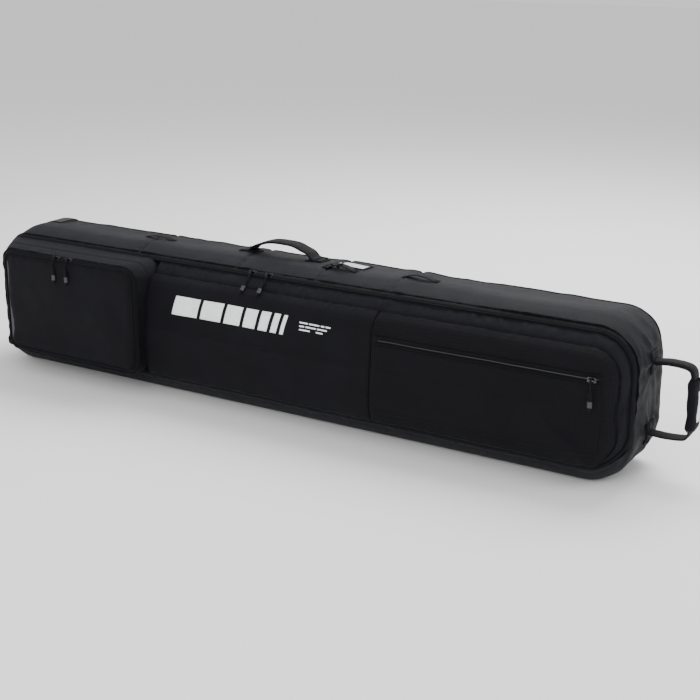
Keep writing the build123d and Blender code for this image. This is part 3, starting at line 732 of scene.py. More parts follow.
# %% Lining the tub
inner = slice(2, len(gusset.arc))
lining_rows = gusset.raised(relief * 0.4 - WALL)[inner]
lining = sheet_mesh("tub_lining_cloth", lining_rows, LINING, closed=True, keep=off_tray,
                    flip=not gusset.flip)
finish_piece(lining, "root", "lining", "tub_lining", "top_foam", "bottom_foam", "handle_end_foam",
             "wheel_end_foam", "back_foam")
back_lining = sheet_mesh("back_lining_cloth", back_sheet(BACK - WALL, WALL), LINING, flip=not back.flip)
finish_piece(back_lining, "root", "lining")

# %% [markdown]
# ## Lid: side band and front panel
# The lid is a shallow tray. Its band slopes forward from the zip, a seam turns it into the front
# panel, and the panel's padding swells most below the middle, where the load lies against it. Left of
# the girth seam it is plain polyester, right of it ripstop. The boot pocket takes its left third, so
# there the panel is left out.

# %% Shaping the lid
LID_STEPS = 6
SEAM_STATION = 3
lid = loft([
    ((0.0254, ZIP_Y - 0.0060), (0.0060, ZIP_Y - 0.0066), (0.0525, hinge.y - 0.0023)),
    ((0.0335, ZIP_Y - 0.0160), (0.0120, ZIP_Y - 0.0180), (0.0535, hinge.y - 0.0042)),
    ((0.0455, ZIP_Y - 0.0285), (0.0200, ZIP_Y - 0.0295), (0.0545, hinge.y - 0.0056)),
    ((0.0475, LID_SEAM_Y - 0.001), (0.0215, LID_SEAM_Y - 0.001), (0.0555, hinge.y - 0.0066)),
    ((0.0505, LID_SEAM_Y - 0.007), (0.0245, LID_SEAM_Y - 0.008), (0.0570, hinge.y - 0.0081)),
    ((0.0620, -0.1020), (0.0360, -0.1035), (0.0615, -0.1205)),
    ((0.0800, -0.1140), (0.0530, -0.1145), (0.0720, -0.1240)),
    ((0.1050, -0.1195), (0.0800, -0.1200), (0.0900, -0.1275)),
    ((0.1320, -0.1210), (0.1150, -0.1225), (0.1120, -0.1290)),
    ((0.1600, -0.1235), (0.1500, -0.1250), (0.1380, -0.1285)),
    ((TOP / 2, -0.1260), (TOP / 2, -0.1262), (TOP / 2, -0.1262)),
], LID_STEPS)
seam_arc = lid.arc[SEAM_STATION * LID_STEPS]
lid_height = cloth_relief(lid, [seam_arc, lid.arc[0]], 11, waves=0.0017)
seamed = np.clip((lid.points[:, :, 2] - 0.062) / 0.010, 0, 1)
lid_height -= 0.0028 * groove(lid.arc - seam_arc, 0.0030)[:, None] * seamed
lid_height += 0.0010 * groove(np.abs(lid.arc - seam_arc) - 0.014, 0.010)[:, None] * seamed
girth = lid.points[:, :, 0] - GIRTH_X
lid_height -= 0.0028 * groove(girth, 0.0035)
lid_height += 0.0012 * soft_noise(lid.points, (0.05, 0.05, 0.014), 17) * near(girth, 0.014)
low_middle = np.exp(-((lid.points[:, :, 0] - 0.810) / 0.030) ** 2)
low_middle *= np.exp(-((lid.points[:, :, 2] - 0.160) / 0.040) ** 2)
lid_height -= 0.010 * low_middle
lid_height *= np.clip(np.arange(len(lid.arc)) / 3, 0, 1)[:, None]
lid_skin = lid.raised(lid_height)


def weld(thing, distance=0.0003):
    """Joins points that meet, as where a panel's rings close up in its middle."""
    shape = bmesh.new()
    shape.from_mesh(thing.data)
    bmesh.ops.remove_doubles(shape, verts=shape.verts, dist=distance)
    bmesh.ops.dissolve_degenerate(shape, edges=shape.edges, dist=distance)
    shape.to_mesh(thing.data)
    shape.free()


def left_of_girth(middles):
    return (middles[:, 0] > POCKET_X) & (middles[:, 0] < GIRTH_X)


def right_of_girth(middles):
    return middles[:, 0] > GIRTH_X


def right_of_pocket(middles):
    return middles[:, 0] > POCKET_X


seam_row = SEAM_STATION * LID_STEPS
# The band also takes the gusset cloth with its painted lighter tone.
band = sheet_mesh("lid_band", lid_skin[:seam_row + 1], GUSSET_CLOTH_PAINTED_LIGHTER, closed=True,
                  keep=right_of_pocket, flip=lid.flip)
main_face = sheet_mesh("lid_main_face", lid_skin[seam_row:], CLOTH, closed=True,
                       keep=left_of_girth, flip=lid.flip)
ripstop_face = sheet_mesh("lid_ripstop_face", lid_skin[seam_row:], RIPSTOP, closed=True,
                          keep=right_of_girth, flip=lid.flip)
for part, slot, node in (
    (band, "cover_polyester", "lid_side_band"),
    (main_face, "cover_polyester", "lid_main_panel"),
    (ripstop_face, "ripstop", "lid_ripstop_panel"),
):
    weld(part)
    thicken(part, 0.0014)
    finish_piece(part, "lid", slot, node)

lid_lining = sheet_mesh("lid_lining_cloth", lid.raised(lid_height * 0.3 - WALL)[:-8], LINING, closed=True,
                        keep=right_of_pocket, flip=not lid.flip)
finish_piece(lid_lining, "lid", "lining", "lid_lining", "lid_foam")


def mouth_edge(name, outer_row, inner_row, body, keep=None):
    """The bound edge of cover, foam and lining along the mouth."""
    t = np.linspace(0, 1, 6)[:, None, None]
    rows = outer_row[None] * (1 - t) + inner_row[None] * t
    edge = sheet_mesh(name, rows, BINDING, closed=True, keep=keep)
    thicken(edge, 0.0010, 0.0)
    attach(edge, body)


mouth_edge("tub_mouth_edge", gusset_skin[-1], lining_rows[-1], "root")
mouth_edge("lid_mouth_edge", lid_skin[0], lid.raised(lid_height * 0.3 - WALL)[0], "lid")


def flat_grid(x0, x1, z0, z1, y, steps=(40, 16)):
    """An upright sheet between two X and two Z."""
    x, z = np.meshgrid(np.linspace(x0, x1, steps[0]), np.linspace(z0, z1, steps[1]))
    return np.stack([x, np.full_like(x, y), z], axis=2)


middle_lining = sheet_mesh(
    "lid_lining_middle", flat_grid(POCKET_X, RIGHT - 0.12, 0.14, 0.215, -0.1100), LINING, flip=True)
finish_piece(middle_lining, "lid", "lining")

# %% [markdown]
# ### Finding the cloth
# Pockets, prints and stitches lie on the finished, wrinkled cloth. We drop a ray on it from outside
# and take the point it hits, so nothing floats and nothing sinks.


# %% Dropping things on the cloth
def cloth_under(*things):
    """A function that gives the point and normal where a ray meets the cloth."""
    places, faces = [], []
    for thing in things:
        start = len(places)
        places += [v.co.copy() for v in thing.data.vertices]
        faces += [[start + v for v in p.vertices] for p in thing.data.polygons]
    tree = BVHTree.FromPolygons(places, faces)

    def hit(origin, direction):
        place, normal, _, _ = tree.ray_cast(Vector(origin), Vector(direction))
        return place, normal

    return hit


on_lid = cloth_under(main_face, ripstop_face, band)


def on_front(x, z, proud=0.0, missing=-0.12):
    """The point on the lid's front at X and Z, some metres proud of it."""
    place, _ = on_lid((x, -1.0, z), (0, 1, 0))
    y = place.y if place else missing
    return (x, y - proud, z)


# %% [markdown]
# ## Boot pocket
# The pocket is a box of its own on the lid's left. Its walls come forward from the zip, and the front
# is a flap that opens on its lower edge. The flap's zip runs round the left, top and right edges.

# %% Shaping the boot pocket
walls_low, walls_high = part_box("boot_pocket_walls")
POCKET_CORNER = 0.036
POCKET_EDGE = 0.030
ZIP_ANGLE = math.radians(40.0)
POCKET_ZIP_INSET = POCKET_EDGE * (1 - math.cos(ZIP_ANGLE))
POCKET_ZIP_Y = joint_place("boot_flap_hinge").y
POCKET_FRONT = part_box("boot_flap")[0].y
END_STEP = 0.004
LID_END = band_low.x + END_STEP
END_SLOPE = 0.686  # inward lean of the wheel end for each metre of depth
POCKET_SEAM_Y = -0.110
POCKET_SEAM_DEPTH = 0.0024


def pocket_ring(inset, y):
    """A ring of the boot pocket at an inset and a depth; its wheel end leans in like the lid's."""
    half = (walls_high.z - walls_low.z) / 2 - inset
    radius = min(max(POCKET_CORNER - inset, 0.010), half)
    places = pocket_outline(inset, radius, END_SLOPE * max(0.0, ZIP_Y - y))
    return np.stack([places[:, 0], np.full(len(places), y), places[:, 1]], axis=1)


def pocket_outline(inset, radius, lean_in):
    """Points round the pocket, from the lower left corner on."""
    x0, x1 = LID_END + inset + lean_in, walls_high.x - inset
    z0, z1 = walls_low.z + inset, walls_high.z - inset
    places = []
    sides = (
        ((x0 + radius, z0), (x1 - radius, z0), 110, (x1 - radius, z0 + radius), -90),
        ((x1, z0 + radius), (x1, z1 - radius), 46, (x1 - radius, z1 - radius), 0),
        ((x1 - radius, z1), (x0 + radius, z1), 110, (x0 + radius, z1 - radius), 90),
        ((x0, z1 - radius), (x0, z0 + radius), 46, (x0 + radius, z0 + radius), 180),
    )
    for start, stop, steps, centre, first in sides:
        for t in np.linspace(0, 1, steps, endpoint=False):
            places.append((start[0] + (stop[0] - start[0]) * t, start[1] + (stop[1] - start[1]) * t))
        for t in np.linspace(0, 1, CORNER_STEPS, endpoint=False):
            angle = math.radians(first + 90 * t)
            places.append((centre[0] + radius * math.cos(angle), centre[1] + radius * math.sin(angle)))
    return np.array(places)


def pocket_loft(rings, steps):
    centre = ((walls_low.x + walls_high.x) / 2, 0.0, (walls_low.z + walls_high.z) / 2)
    return Panel(smooth_rows([pocket_ring(*each) for each in rings], (len(rings) - 1) * steps + 1), centre)


TAPE_HALF = 0.0055
walls = pocket_loft([
    (0.0000, walls_high.y), (-0.0005, -0.075), (-0.0012, -0.100), (-0.0008, -0.125), (0.0010, -0.140),
    (POCKET_ZIP_INSET - TAPE_HALF * 0.77, POCKET_ZIP_Y + TAPE_HALF * 0.64),
], 5)
flap = pocket_loft([
    (POCKET_ZIP_INSET + TAPE_HALF * 0.77, POCKET_ZIP_Y - TAPE_HALF * 0.64),
    (0.0190, POCKET_FRONT + 0.0028), (0.0280, POCKET_FRONT + 0.0006), (0.0450, POCKET_FRONT),
    (0.0700, POCKET_FRONT - 0.0006), (0.1000, POCKET_FRONT - 0.0020),
    ((walls_high.z - walls_low.z) / 2, POCKET_FRONT - 0.0030),
], 7)
wall_height = cloth_relief(walls, [walls.arc[-1], walls.arc[0]], 41, waves=0.0014)
wall_height *= np.clip(np.arange(len(walls.arc)) / 3, 0, 1)[:, None]
pocket_seam_row = int(np.argmin(np.abs(walls.points[:, 0, 1] - POCKET_SEAM_Y)))
wall_height[pocket_seam_row] -= POCKET_SEAM_DEPTH
flap_height = cloth_relief(flap, [flap.arc[0]], 43, waves=0.0013) - 0.0008
flap_height *= np.clip(np.arange(len(flap.arc)) / 3, 0, 1)[:, None]
pocket_walls = sheet_mesh("pocket_wall_cloth", walls.raised(wall_height), CLOTH, closed=True, flip=walls.flip)
pocket_flap = sheet_mesh("boot_flap_cloth", flap.raised(flap_height), CLOTH, closed=True, flip=flap.flip)
weld(pocket_flap)
thicken(pocket_walls, 0.0028)
thicken(pocket_flap, 0.0014)
finish_piece(pocket_walls, "lid", "cover_polyester", "boot_pocket_walls")
finish_piece(pocket_flap, "boot_flap", "cover_polyester", "boot_flap")

# The pocket's back is lined, and the flap's inside has a foam pad.
divider_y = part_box("boot_pocket_divider")[0].y
half_pocket = (walls_high.z - walls_low.z) / 2
divider_rings = pocket_loft([(0.004, divider_y), (0.05, divider_y), (half_pocket, divider_y)], 6)
divider = sheet_mesh("pocket_divider_cloth", divider_rings.points, LINING, closed=True,
                     flip=divider_rings.flip)
weld(divider)
thicken(divider, 0.0016)
finish_piece(divider, "lid", "lining", "boot_pocket_divider")
foam_low, foam_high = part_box("boot_flap_foam")
flap_pad = sheet_mesh(
    "boot_flap_pad",
    flat_grid(foam_low.x, foam_high.x, foam_low.z, foam_high.z, foam_high.y - 0.002), FOAM, flip=True)
thicken(flap_pad, 0.0035, 0.0)
finish_piece(flap_pad, "boot_flap", "foam", "boot_flap_foam")

# %% [markdown]
# ## Zips
# All zips are of one kind: a nylon coil between two woven tapes. The main zip is sewn in reverse, so
# from outside one sees two smooth tapes that swell over the coil, between two corded welts. Each half
# rides on its own side, so the zip really parts when the lid opens.


# %% Sweeping a section along a line
def sweep(name, path, sides, section, material, closed=False):
    """A section of (sideways, outward) points swept along a path; its ends are capped when open."""
    path = np.asarray(path, float)
    sides = np.broadcast_to(np.asarray(sides, float), path.shape)
    ahead = np.roll(path, -1, axis=0) - np.roll(path, 1, axis=0) if closed else np.gradient(path, axis=0)
    ahead /= np.linalg.norm(ahead, axis=1, keepdims=True)
    across = sides - np.sum(sides * ahead, axis=1, keepdims=True) * ahead
    across /= np.linalg.norm(across, axis=1, keepdims=True)
    outward = np.cross(ahead, across)
    section = np.asarray(section, float)
    rings = (path[:, None] + across[:, None] * section[None, :, :1] + outward[:, None] * section[None, :, 1:])
    count, sides_count, _ = rings.shape
    travel = np.concatenate([[0], np.cumsum(np.linalg.norm(np.diff(path, axis=0), axis=1))])
    around = np.concatenate([[0], np.cumsum(np.linalg.norm(np.diff(section, axis=0), axis=1))])
    faces, uvs = [], []
    for i in range(count if closed else count - 1):
        j = (i + 1) % count
        far = travel[i + 1] if i + 1 < count else travel[-1] + 0.01
        for k in range(sides_count):
            m = (k + 1) % sides_count
            end = around[k + 1] if k + 1 < sides_count else around[-1] + 0.001
            faces.append((i * sides_count + k, j * sides_count + k, j * sides_count + m, i * sides_count + m))
            uvs += [(travel[i], around[k]), (far, around[k]), (far, end), (travel[i], end)]
    if not closed:
        first = list(range(sides_count))
        last = [(count - 1) * sides_count + k for k in reversed(first)]
        faces += [first, last]
        uvs += [(0, 0)] * (2 * sides_count)
    mesh = bpy.data.meshes.new(name)
    mesh.from_pydata(rings.reshape(-1, 3).tolist(), [], faces)
    layer = mesh.uv_layers.new(name="UVMap")
    layer.data.foreach_set("uv", np.array(uvs, np.float32).ravel())
    return link(mesh, name, material)


def round_section(radius, flat=1.0, steps=10):
    angles = np.linspace(0, 2 * math.pi, steps, endpoint=False)
    return np.stack([radius * np.cos(angles), radius * flat * np.sin(angles)], axis=1)


# %% Main zip
def tape(name, rings, lift, body, node=None):
    """One woven tape of a zip, from its seam to the coil."""
    strip = loft(rings, 6)
    t = strip.arc / strip.arc[-1]
    crown = lift * np.sin(np.clip(t * 1.15, 0, 1) * math.pi / 2) ** 2
    cloth = sheet_mesh(name, strip.raised(crown[:, None]), ZIP_TAPE, closed=True, flip=strip.flip)
    thicken(cloth, 0.0007)
    finish_piece(cloth, body, "zip_tape", *([node] if node else []))
    return strip


HALF_GAP = 0.0003
tub_tape = tape("main_tape_tub", [
    ((0.0165, ZIP_Y + 0.0085), (0.0012, ZIP_Y + 0.0085), (0.0468, hinge.y + 0.0032)),
    ((0.0182, ZIP_Y + 0.0045), (0.0010, ZIP_Y + 0.0045), (0.0480, hinge.y + 0.0018)),
    ((0.0199, ZIP_Y + HALF_GAP), (0.0012, ZIP_Y + HALF_GAP), (0.0494, hinge.y + 0.0006)),
], 0.0022, "root", "main_zip_tape_tub")
lid_tape = tape("main_tape_lid", [
    ((0.0248, ZIP_Y - 0.0062), (0.0052, ZIP_Y - 0.0068), (0.0522, hinge.y - 0.0020)),
    ((0.0225, ZIP_Y - 0.0035), (0.0030, ZIP_Y - 0.0038), (0.0512, hinge.y - 0.0013)),
    ((0.0201, ZIP_Y - HALF_GAP), (0.0014, ZIP_Y - HALF_GAP), (0.0506, hinge.y - 0.0006)),
], 0.0022, "lid", "main_zip_tape_lid")
WELT_R = 0.0022


def above_fold(middles):
    """Where the zip runs: everywhere but along the folding seam."""
    return middles[:, 2] > hinge.z + 0.006


def open_run(path, outward, keep):
    """The run of a closed row that keep chooses, from its first point to its last."""
    chosen = keep(path)
    order = np.roll(np.arange(len(path)), -int(np.argmax(~chosen)))
    order = order[chosen[order]]
    return path[order], outward[order]


def welt(name, panel, heights, row, body, radius=WELT_R, sink=0.0006, keep=None):
    """A corded welt along one row of a closed panel."""
    path = panel.raised(heights)[row] + panel.out[row] * (radius - sink)
    outward = panel.out[row]
    if keep is not None:
        path, outward = open_run(path, outward, keep)
    cord = sweep(name, path, outward, round_section(radius), BINDING, closed=keep is None)
    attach(cord, body)
    return cord


welt("main_welt_tub", gusset, relief, -1, "root", keep=above_fold)
welt("main_welt_lid", lid, lid_height, 0, "lid", keep=above_fold)
welt("back_edge_piping", gusset, relief, 2 * GUSSET_STEPS, "root", 0.0019, 0.0010)


def coil(name, path, sides, radius, pitch, body):
    """One half of a nylon coil: a fine cord with a bead for each turn."""
    step = np.linalg.norm(np.diff(path, axis=0, append=path[:1]), axis=1)
    travel = np.concatenate([[0], np.cumsum(step)])
    looped = np.concatenate([path, path[:1]])
    looped_sides = np.concatenate([sides, sides[:1]])
    count = int(travel[-1] / pitch) * 4
    at = np.linspace(0, travel[-1], count, endpoint=False)
    fine = np.stack([np.interp(at, travel, looped[:, k]) for k in range(3)], axis=1)
    fine_sides = np.stack([np.interp(at, travel, looped_sides[:, k]) for k in range(3)], axis=1)
    swell = 0.72 + 0.28 * np.cos(np.arange(count) * math.pi / 2)
    thing = sweep(name, fine, fine_sides, round_section(radius, steps=6), COIL, closed=True)
    mesh = thing.data
    points = np.empty(len(mesh.vertices) * 3, np.float32)
    mesh.vertices.foreach_get("co", points)
    points = points.reshape(count, 6, 3)
    centre = points.mean(axis=1, keepdims=True)
    points = centre + (points - centre) * swell[:, None, None]
    mesh.vertices.foreach_set("co", points.ravel().astype(np.float32))
    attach(thing, body)
    return thing


coil("main_coil_tub", tub_tape.points[-1] - tub_tape.out[-1] * 0.0014, tub_tape.out[-1], 0.0012, 0.0024,
     "root")
coil("main_coil_lid", lid_tape.points[-1] - lid_tape.out[-1] * 0.0014, lid_tape.out[-1], 0.0012, 0.0024,
     "lid")

# %% Boot pocket zip
pocket_centre = ((walls_low.x + walls_high.x) / 2, 0.0, (walls_low.z + walls_high.z) / 2)


def pocket_tape(name, near_seam, near_coil, body, node):
    """One tape of the boot pocket's zip."""
    strip = Panel(smooth_rows([pocket_ring(*near_seam), pocket_ring(*near_coil)], 6), pocket_centre)
    t = strip.arc / strip.arc[-1]
    cloth = sheet_mesh(name, strip.raised((0.0014 * t**2)[:, None]), ZIP_TAPE, closed=True, flip=strip.flip)
    thicken(cloth, 0.0006)
    finish_piece(cloth, body, "zip_tape", node)
    return strip


wall_tape = pocket_tape(
    "boot_tape_wall", (POCKET_ZIP_INSET - TAPE_HALF * 0.77, POCKET_ZIP_Y + TAPE_HALF * 0.64),
    (POCKET_ZIP_INSET - 0.0002, POCKET_ZIP_Y + 0.0002), "lid", "boot_zip_tape_wall")
flap_tape = pocket_tape(
    "boot_tape_flap", (POCKET_ZIP_INSET + TAPE_HALF * 0.77, POCKET_ZIP_Y - TAPE_HALF * 0.64),
    (POCKET_ZIP_INSET + 0.0002, POCKET_ZIP_Y - 0.0002), "boot_flap", "boot_zip_tape_flap")
welt("boot_welt_wall", walls, wall_height, -1, "lid", 0.0014)
welt("boot_welt_flap", flap, flap_height, 0, "boot_flap", 0.0014)
coil("boot_coil_wall", wall_tape.points[-1] - wall_tape.out[-1] * 0.001, wall_tape.out[-1], 0.0009, 0.0022,
     "lid")
coil("boot_coil_flap", flap_tape.points[-1] - flap_tape.out[-1] * 0.001, flap_tape.out[-1], 0.0009, 0.0022,
     "boot_flap")

# %% [markdown]
# ## Flat pocket
# The flat pocket is only a second layer of ripstop sewn on the right half of the lid. Its zip is
# slanted a little under a narrow folded edge, and the cloth below it bellies out slightly.

# %% Laying the flat pocket on the lid
flat_low, flat_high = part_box("flat_pocket_panel")
tapes_low, tapes_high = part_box("flat_zip_tapes")


def laid_sheet(name, corners, material, body, proud, steps=(120, 40), puff=0.0, seed=60,
               thickness=0.0012):
    """A sheet on the front panel between four corners in X and Z: lower left, lower right, upper right,
    upper left. It stands proud of the cloth, and puffs in its middle."""
    a, b, c, d = (np.array(p) for p in corners)
    u, v = np.meshgrid(np.linspace(0, 1, steps[0]), np.linspace(0, 1, steps[1]))
    u, v = u[..., None], v[..., None]
    flat = (1 - v) * ((1 - u) * a + u * b) + v * ((1 - u) * d + u * c)
    swell = puff * (np.sin(math.pi * u) ** 0.4 * np.sin(math.pi * v) ** 0.6)[..., 0]
    points = np.empty((*flat.shape[:2], 3))
    bumps = soft_noise(np.stack([flat[..., 0], flat[..., 0] * 0, flat[..., 1]], axis=2), (0.05, 1, 0.03),
                       seed)
    for j in range(flat.shape[0]):
        for i in range(flat.shape[1]):
            x, z = flat[j, i]
            points[j, i] = on_front(x, z, proud + swell[j, i] * (1 + 0.4 * bumps[j, i]))
    cloth = sheet_mesh(name, points, material, flip=False)
    thicken(cloth, thickness, -1.0)
    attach(cloth, body)
    return cloth


FLAT_ZIP_Z = joint_place("flat_pull_swing").z
flat_panel = laid_sheet(
    "flat_pocket_cloth",
    ((flat_low.x, flat_low.z), (flat_high.x, flat_low.z), (flat_high.x, FLAT_ZIP_Z - 0.006),
     (flat_low.x, FLAT_ZIP_Z - 0.006)),
    RIPSTOP, "lid", 0.0012, puff=0.0008)
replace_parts(flat_panel, "flat_pocket_panel")
flat_tape = laid_sheet(
    "flat_zip_tape",
    ((tapes_low.x, FLAT_ZIP_Z - 0.007), (tapes_high.x, FLAT_ZIP_Z - 0.007), (tapes_high.x, tapes_high.z),
     (tapes_low.x, tapes_high.z)),
    ZIP_TAPE, "lid", 0.0008, steps=(160, 8), thickness=0.0007)
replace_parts(flat_tape, "flat_zip_tapes")


def front_line(x0, x1, z0, z1, proud, step=0.004):
    """A line on the front panel."""
    count = max(3, int(math.hypot(x1 - x0, z1 - z0) / step))
    return [on_front(x0 + (x1 - x0) * t, z0 + (z1 - z0) * t, proud) for t in np.linspace(0, 1, count)]


def front_cord(name, radius, x0, x1, z0, z1, proud=0.0012, material=BINDING):
    """A narrow folded edge or cord on the front panel."""
    cord = sweep(name, front_line(x0, x1, z0, z1, proud), (0, 0, 1), round_section(radius, 0.7), material)
    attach(cord, "lid")
    return cord


front_cord("flat_fold_upper", 0.0024, flat_low.x, flat_high.x, FLAT_ZIP_Z + 0.0070, FLAT_ZIP_Z + 0.0070)
front_cord("flat_fold_lower", 0.0018, flat_low.x, flat_high.x, FLAT_ZIP_Z - 0.0065, FLAT_ZIP_Z - 0.0065,
           0.0020)
front_cord("flat_coil", 0.0013, flat_low.x + 0.01, flat_high.x - 0.006, FLAT_ZIP_Z, FLAT_ZIP_Z, 0.0016, COIL)

# %% [markdown]
# ## Webbing on the gusset
# Every strap ends in a square patch, folded under and sewn down with a box of stitches. The patches
# lie on the cloth and bend with it.


# %% Patches laid on cloth
def patch(name, centre, along, across, size, direction, hit, proud, material, thickness, steps=(20, 12)):
    """A flat piece dropped on the cloth along a direction, size metres along and across."""
    centre, along, across = Vector(centre), Vector(along), Vector(across)
    direction = Vector(direction)
    points = np.empty((steps[1], steps[0], 3))
    for j, v in enumerate(np.linspace(-0.5, 0.5, steps[1])):
        for i, u in enumerate(np.linspace(-0.5, 0.5, steps[0])):
            start = centre + along * (u * size[0]) + across * (v * size[1])
            place, _ = hit(start - direction * 0.3, direction)
            points[j, i] = (place if place else start) - direction * proud
    cloth = sheet_mesh(name, points, material)
    thicken(cloth, thickness, 0.0)
    return cloth


def stitches(name, path, outward, body, pitch=0.0038, length=0.0027, width=0.00045, height=0.0004):
    """A row of small stitches along a path that lies on cloth."""
    path = np.asarray(path, float)
    outward = np.broadcast_to(np.asarray(outward, float), path.shape)
    travel = np.concatenate([[0], np.cumsum(np.linalg.norm(np.diff(path, axis=0), axis=1))])
    count = int(travel[-1] / pitch)
    starts = np.arange(count) * pitch
    ends = starts + length

    def sample(values, at):
        return np.stack([np.interp(at, travel, values[:, k]) for k in range(3)], axis=1)

    a, b = sample(path, starts), sample(path, ends)
    up = sample(outward, (starts + ends) / 2)
    up /= np.linalg.norm(up, axis=1, keepdims=True)
    side = np.cross(b - a, up)
    side /= np.linalg.norm(side, axis=1, keepdims=True)
    middle = (a + b) / 2
    sunk, high = -0.0004 * up, height * up
    corners = [a - side * width + sunk, a + side * width + sunk, b + side * width + sunk,
               b - side * width + sunk,
               middle - side * width + high - (b - a) * 0.25, middle + side * width + high - (b - a) * 0.25,
               middle + side * width + high + (b - a) * 0.25, middle - side * width + high + (b - a) * 0.25]
    points = np.stack(corners, axis=1).reshape(-1, 3)
    one = np.array([(0, 3, 2, 1), (4, 5, 6, 7), (0, 1, 5, 4), (1, 2, 6, 5), (2, 3, 7, 6), (3, 0, 4, 7)])
    faces = (one[None] + 8 * np.arange(count)[:, None, None]).reshape(-1, 4)
    mesh = bpy.data.meshes.new(name)
    mesh.from_pydata(points.tolist(), [], faces.tolist())
    mesh.uv_layers.new(name="UVMap")
    row = link(mesh, name, THREAD)
    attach(row, body)
    return row


on_tub = cloth_under(tub)
DOWN = (0, 0, -1)


def on_top(x, y, proud=0.0):
    """The point on the tub's top at X and Y."""
    place, _ = on_tub((x, y, 1.0), DOWN)
    return (x, y, place.z + proud)


def box_stitch(name, centre, along, across, size, direction, hit, proud, body):
    """A square of stitches with a cross inside, as sewn on a webbing patch."""
    centre, along, across, direction = Vector(centre), Vector(along), Vector(across), Vector(direction)
    u, v = size[0] / 2, size[1] / 2
    route = [(-u, -v), (u, -v), (u, v), (-u, v), (-u, -v), (u, v), (u, -v), (-u, v)]
    path = []
    for (u0, v0), (u1, v1) in zip(route, route[1:]):
        for t in np.linspace(0, 1, 8):
            start = centre + along * (u0 + (u1 - u0) * t) + across * (v0 + (v1 - v0) * t)
            place, _ = hit(start - direction * 0.3, direction)
            path.append((place if place else start) - direction * proud)
    return stitches(name, path, -direction, body, 0.0032, 0.0024)


# %% Carry handle
carry_low, carry_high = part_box("carry_handle")
carry_y = (carry_low.y + carry_high.y) / 2
carry_left, carry_right = carry_low.x, carry_high.x
WEB = carry_high.y - carry_low.y
crown = on_top((carry_left + carry_right) / 2, carry_y)[2]
REACH = 0.024


def flat_section(width, thickness):
    """A strap's section with rounded edges."""
    w, h = width / 2, thickness / 2
    c = h * 0.6
    return [(-w + c, -h), (w - c, -h), (w, -h + c), (w, h - c), (w - c, h), (-w + c, h), (-w, h - c),
            (-w, -h + c)]


def blended(thing):
    """A strap that is sewn to the bag at its ends; its placement is baked into its mesh."""
    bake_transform(thing)
    return thing


top_z = carry_high.z - 0.0115
left_base = on_top(carry_left - REACH, carry_y)[2]
right_base = on_top(carry_right + REACH, carry_y)[2]
carry_route = [
    (carry_left - REACH, left_base + 0.0028), (carry_left - 0.004, left_base + 0.0042),
    (carry_left + 0.012, left_base + 0.016), (carry_left + 0.032, top_z - 0.0085),
    (carry_left + 0.058, top_z - 0.0015), (carry_left + 0.090, top_z), (carry_right - 0.050, top_z - 0.0020),
    (carry_right - 0.026, top_z - 0.0100), (carry_right - 0.010, right_base + 0.016),
    (carry_right + 0.004, right_base + 0.0042), (carry_right + REACH, right_base + 0.0028),
]
carry_path = smooth_rows([(x, carry_y, z) for x, z in carry_route], 90)
lower_layer = sweep("carry_webbing_lower", carry_path, (0, 1, 0), flat_section(WEB, 0.0024), WEBBING)
upper_path = carry_path[6:-6] + np.array([0, 0, 0.0023])
upper_layer = sweep("carry_webbing_upper", upper_path, (0, 1, 0), flat_section(WEB - 0.003, 0.0022), WEBBING)
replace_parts(lower_layer, "carry_handle")
blended(lower_layer)
blended(upper_layer)
for k, side in enumerate((-1, 1)):
    edge_path = carry_path + np.array([0, side * WEB / 2, 0.0010])
    edge = sweep(f"carry_edge_{k}", edge_path, (0, 1, 0), round_section(0.0022, 1.1), BINDING)
    blended(edge)
    sewn = carry_path[8:-8] + np.array([0, side * (WEB / 2 - 0.0055), 0.0035])
    row = stitches(f"carry_stitch_{k}", sewn, (0, 0, 1), "root")
    row.parent = None
    row.matrix_world.identity()
    blended(row)

patches_low, patches_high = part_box("carry_handle_patches")
for k, x in enumerate((patches_low.x + 0.021, patches_high.x - 0.021)):
    sewn = patch(f"carry_patch_{k}", (x, carry_y, 0.34), (1, 0, 0), (0, 1, 0), (0.044, WEB + 0.006), DOWN,
                 on_tub,
                 0.0016, WEBBING, 0.0022)
    finish_piece(sewn, "root", "webbing", *(["carry_handle_patches"] if k == 0 else []))
    box_stitch(f"carry_patch_stitch_{k}", (x, carry_y, 0.34), (1, 0, 0), (0, 1, 0), (0.036, WEB - 0.004),
               DOWN,
               on_tub, 0.0030, "root")

# %% Lash loops
loops_low, loops_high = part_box("lash_loops")
tab_low, tab_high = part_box("lash_tab")
LOOP_LENGTH = 0.088
LOOP_WIDTH = 0.020
LOOPS = ((loops_low.x + LOOP_LENGTH / 2, 0.046), ((tab_low.x + tab_high.x) / 2, 0.018),
         (loops_high.x - LOOP_LENGTH / 2, 0.032))
for k, (x, y) in enumerate(LOOPS):
    path = []
    for t in np.linspace(-1, 1, 40):
        bow = 0.0072 * max(0.0, math.cos(t * math.pi / 2 * 1.25)) ** 0.8 if abs(t) < 0.8 else 0.0
        path.append(on_top(x + t * LOOP_LENGTH / 2, y, 0.0014 + bow))
    loop = sweep(f"lash_loop_{k}", path, (0, 1, 0), flat_section(LOOP_WIDTH, 0.0019), WEBBING)
    finish_piece(loop, "root", "webbing", *(["lash_loops"] if k == 0 else []))
    for side in (-1, 1):
        place = (x + side * (LOOP_LENGTH / 2 - 0.006), y, 0.34)
        box_stitch(f"lash_tack_{k}_{side + 1}", place, (1, 0, 0), (0, 1, 0), (0.006, LOOP_WIDTH - 0.005),
                   DOWN,
                   on_tub, 0.0026, "root")
tab_x, tab_y = LOOPS[1]
tab_base = on_top(tab_x, tab_y)[2]
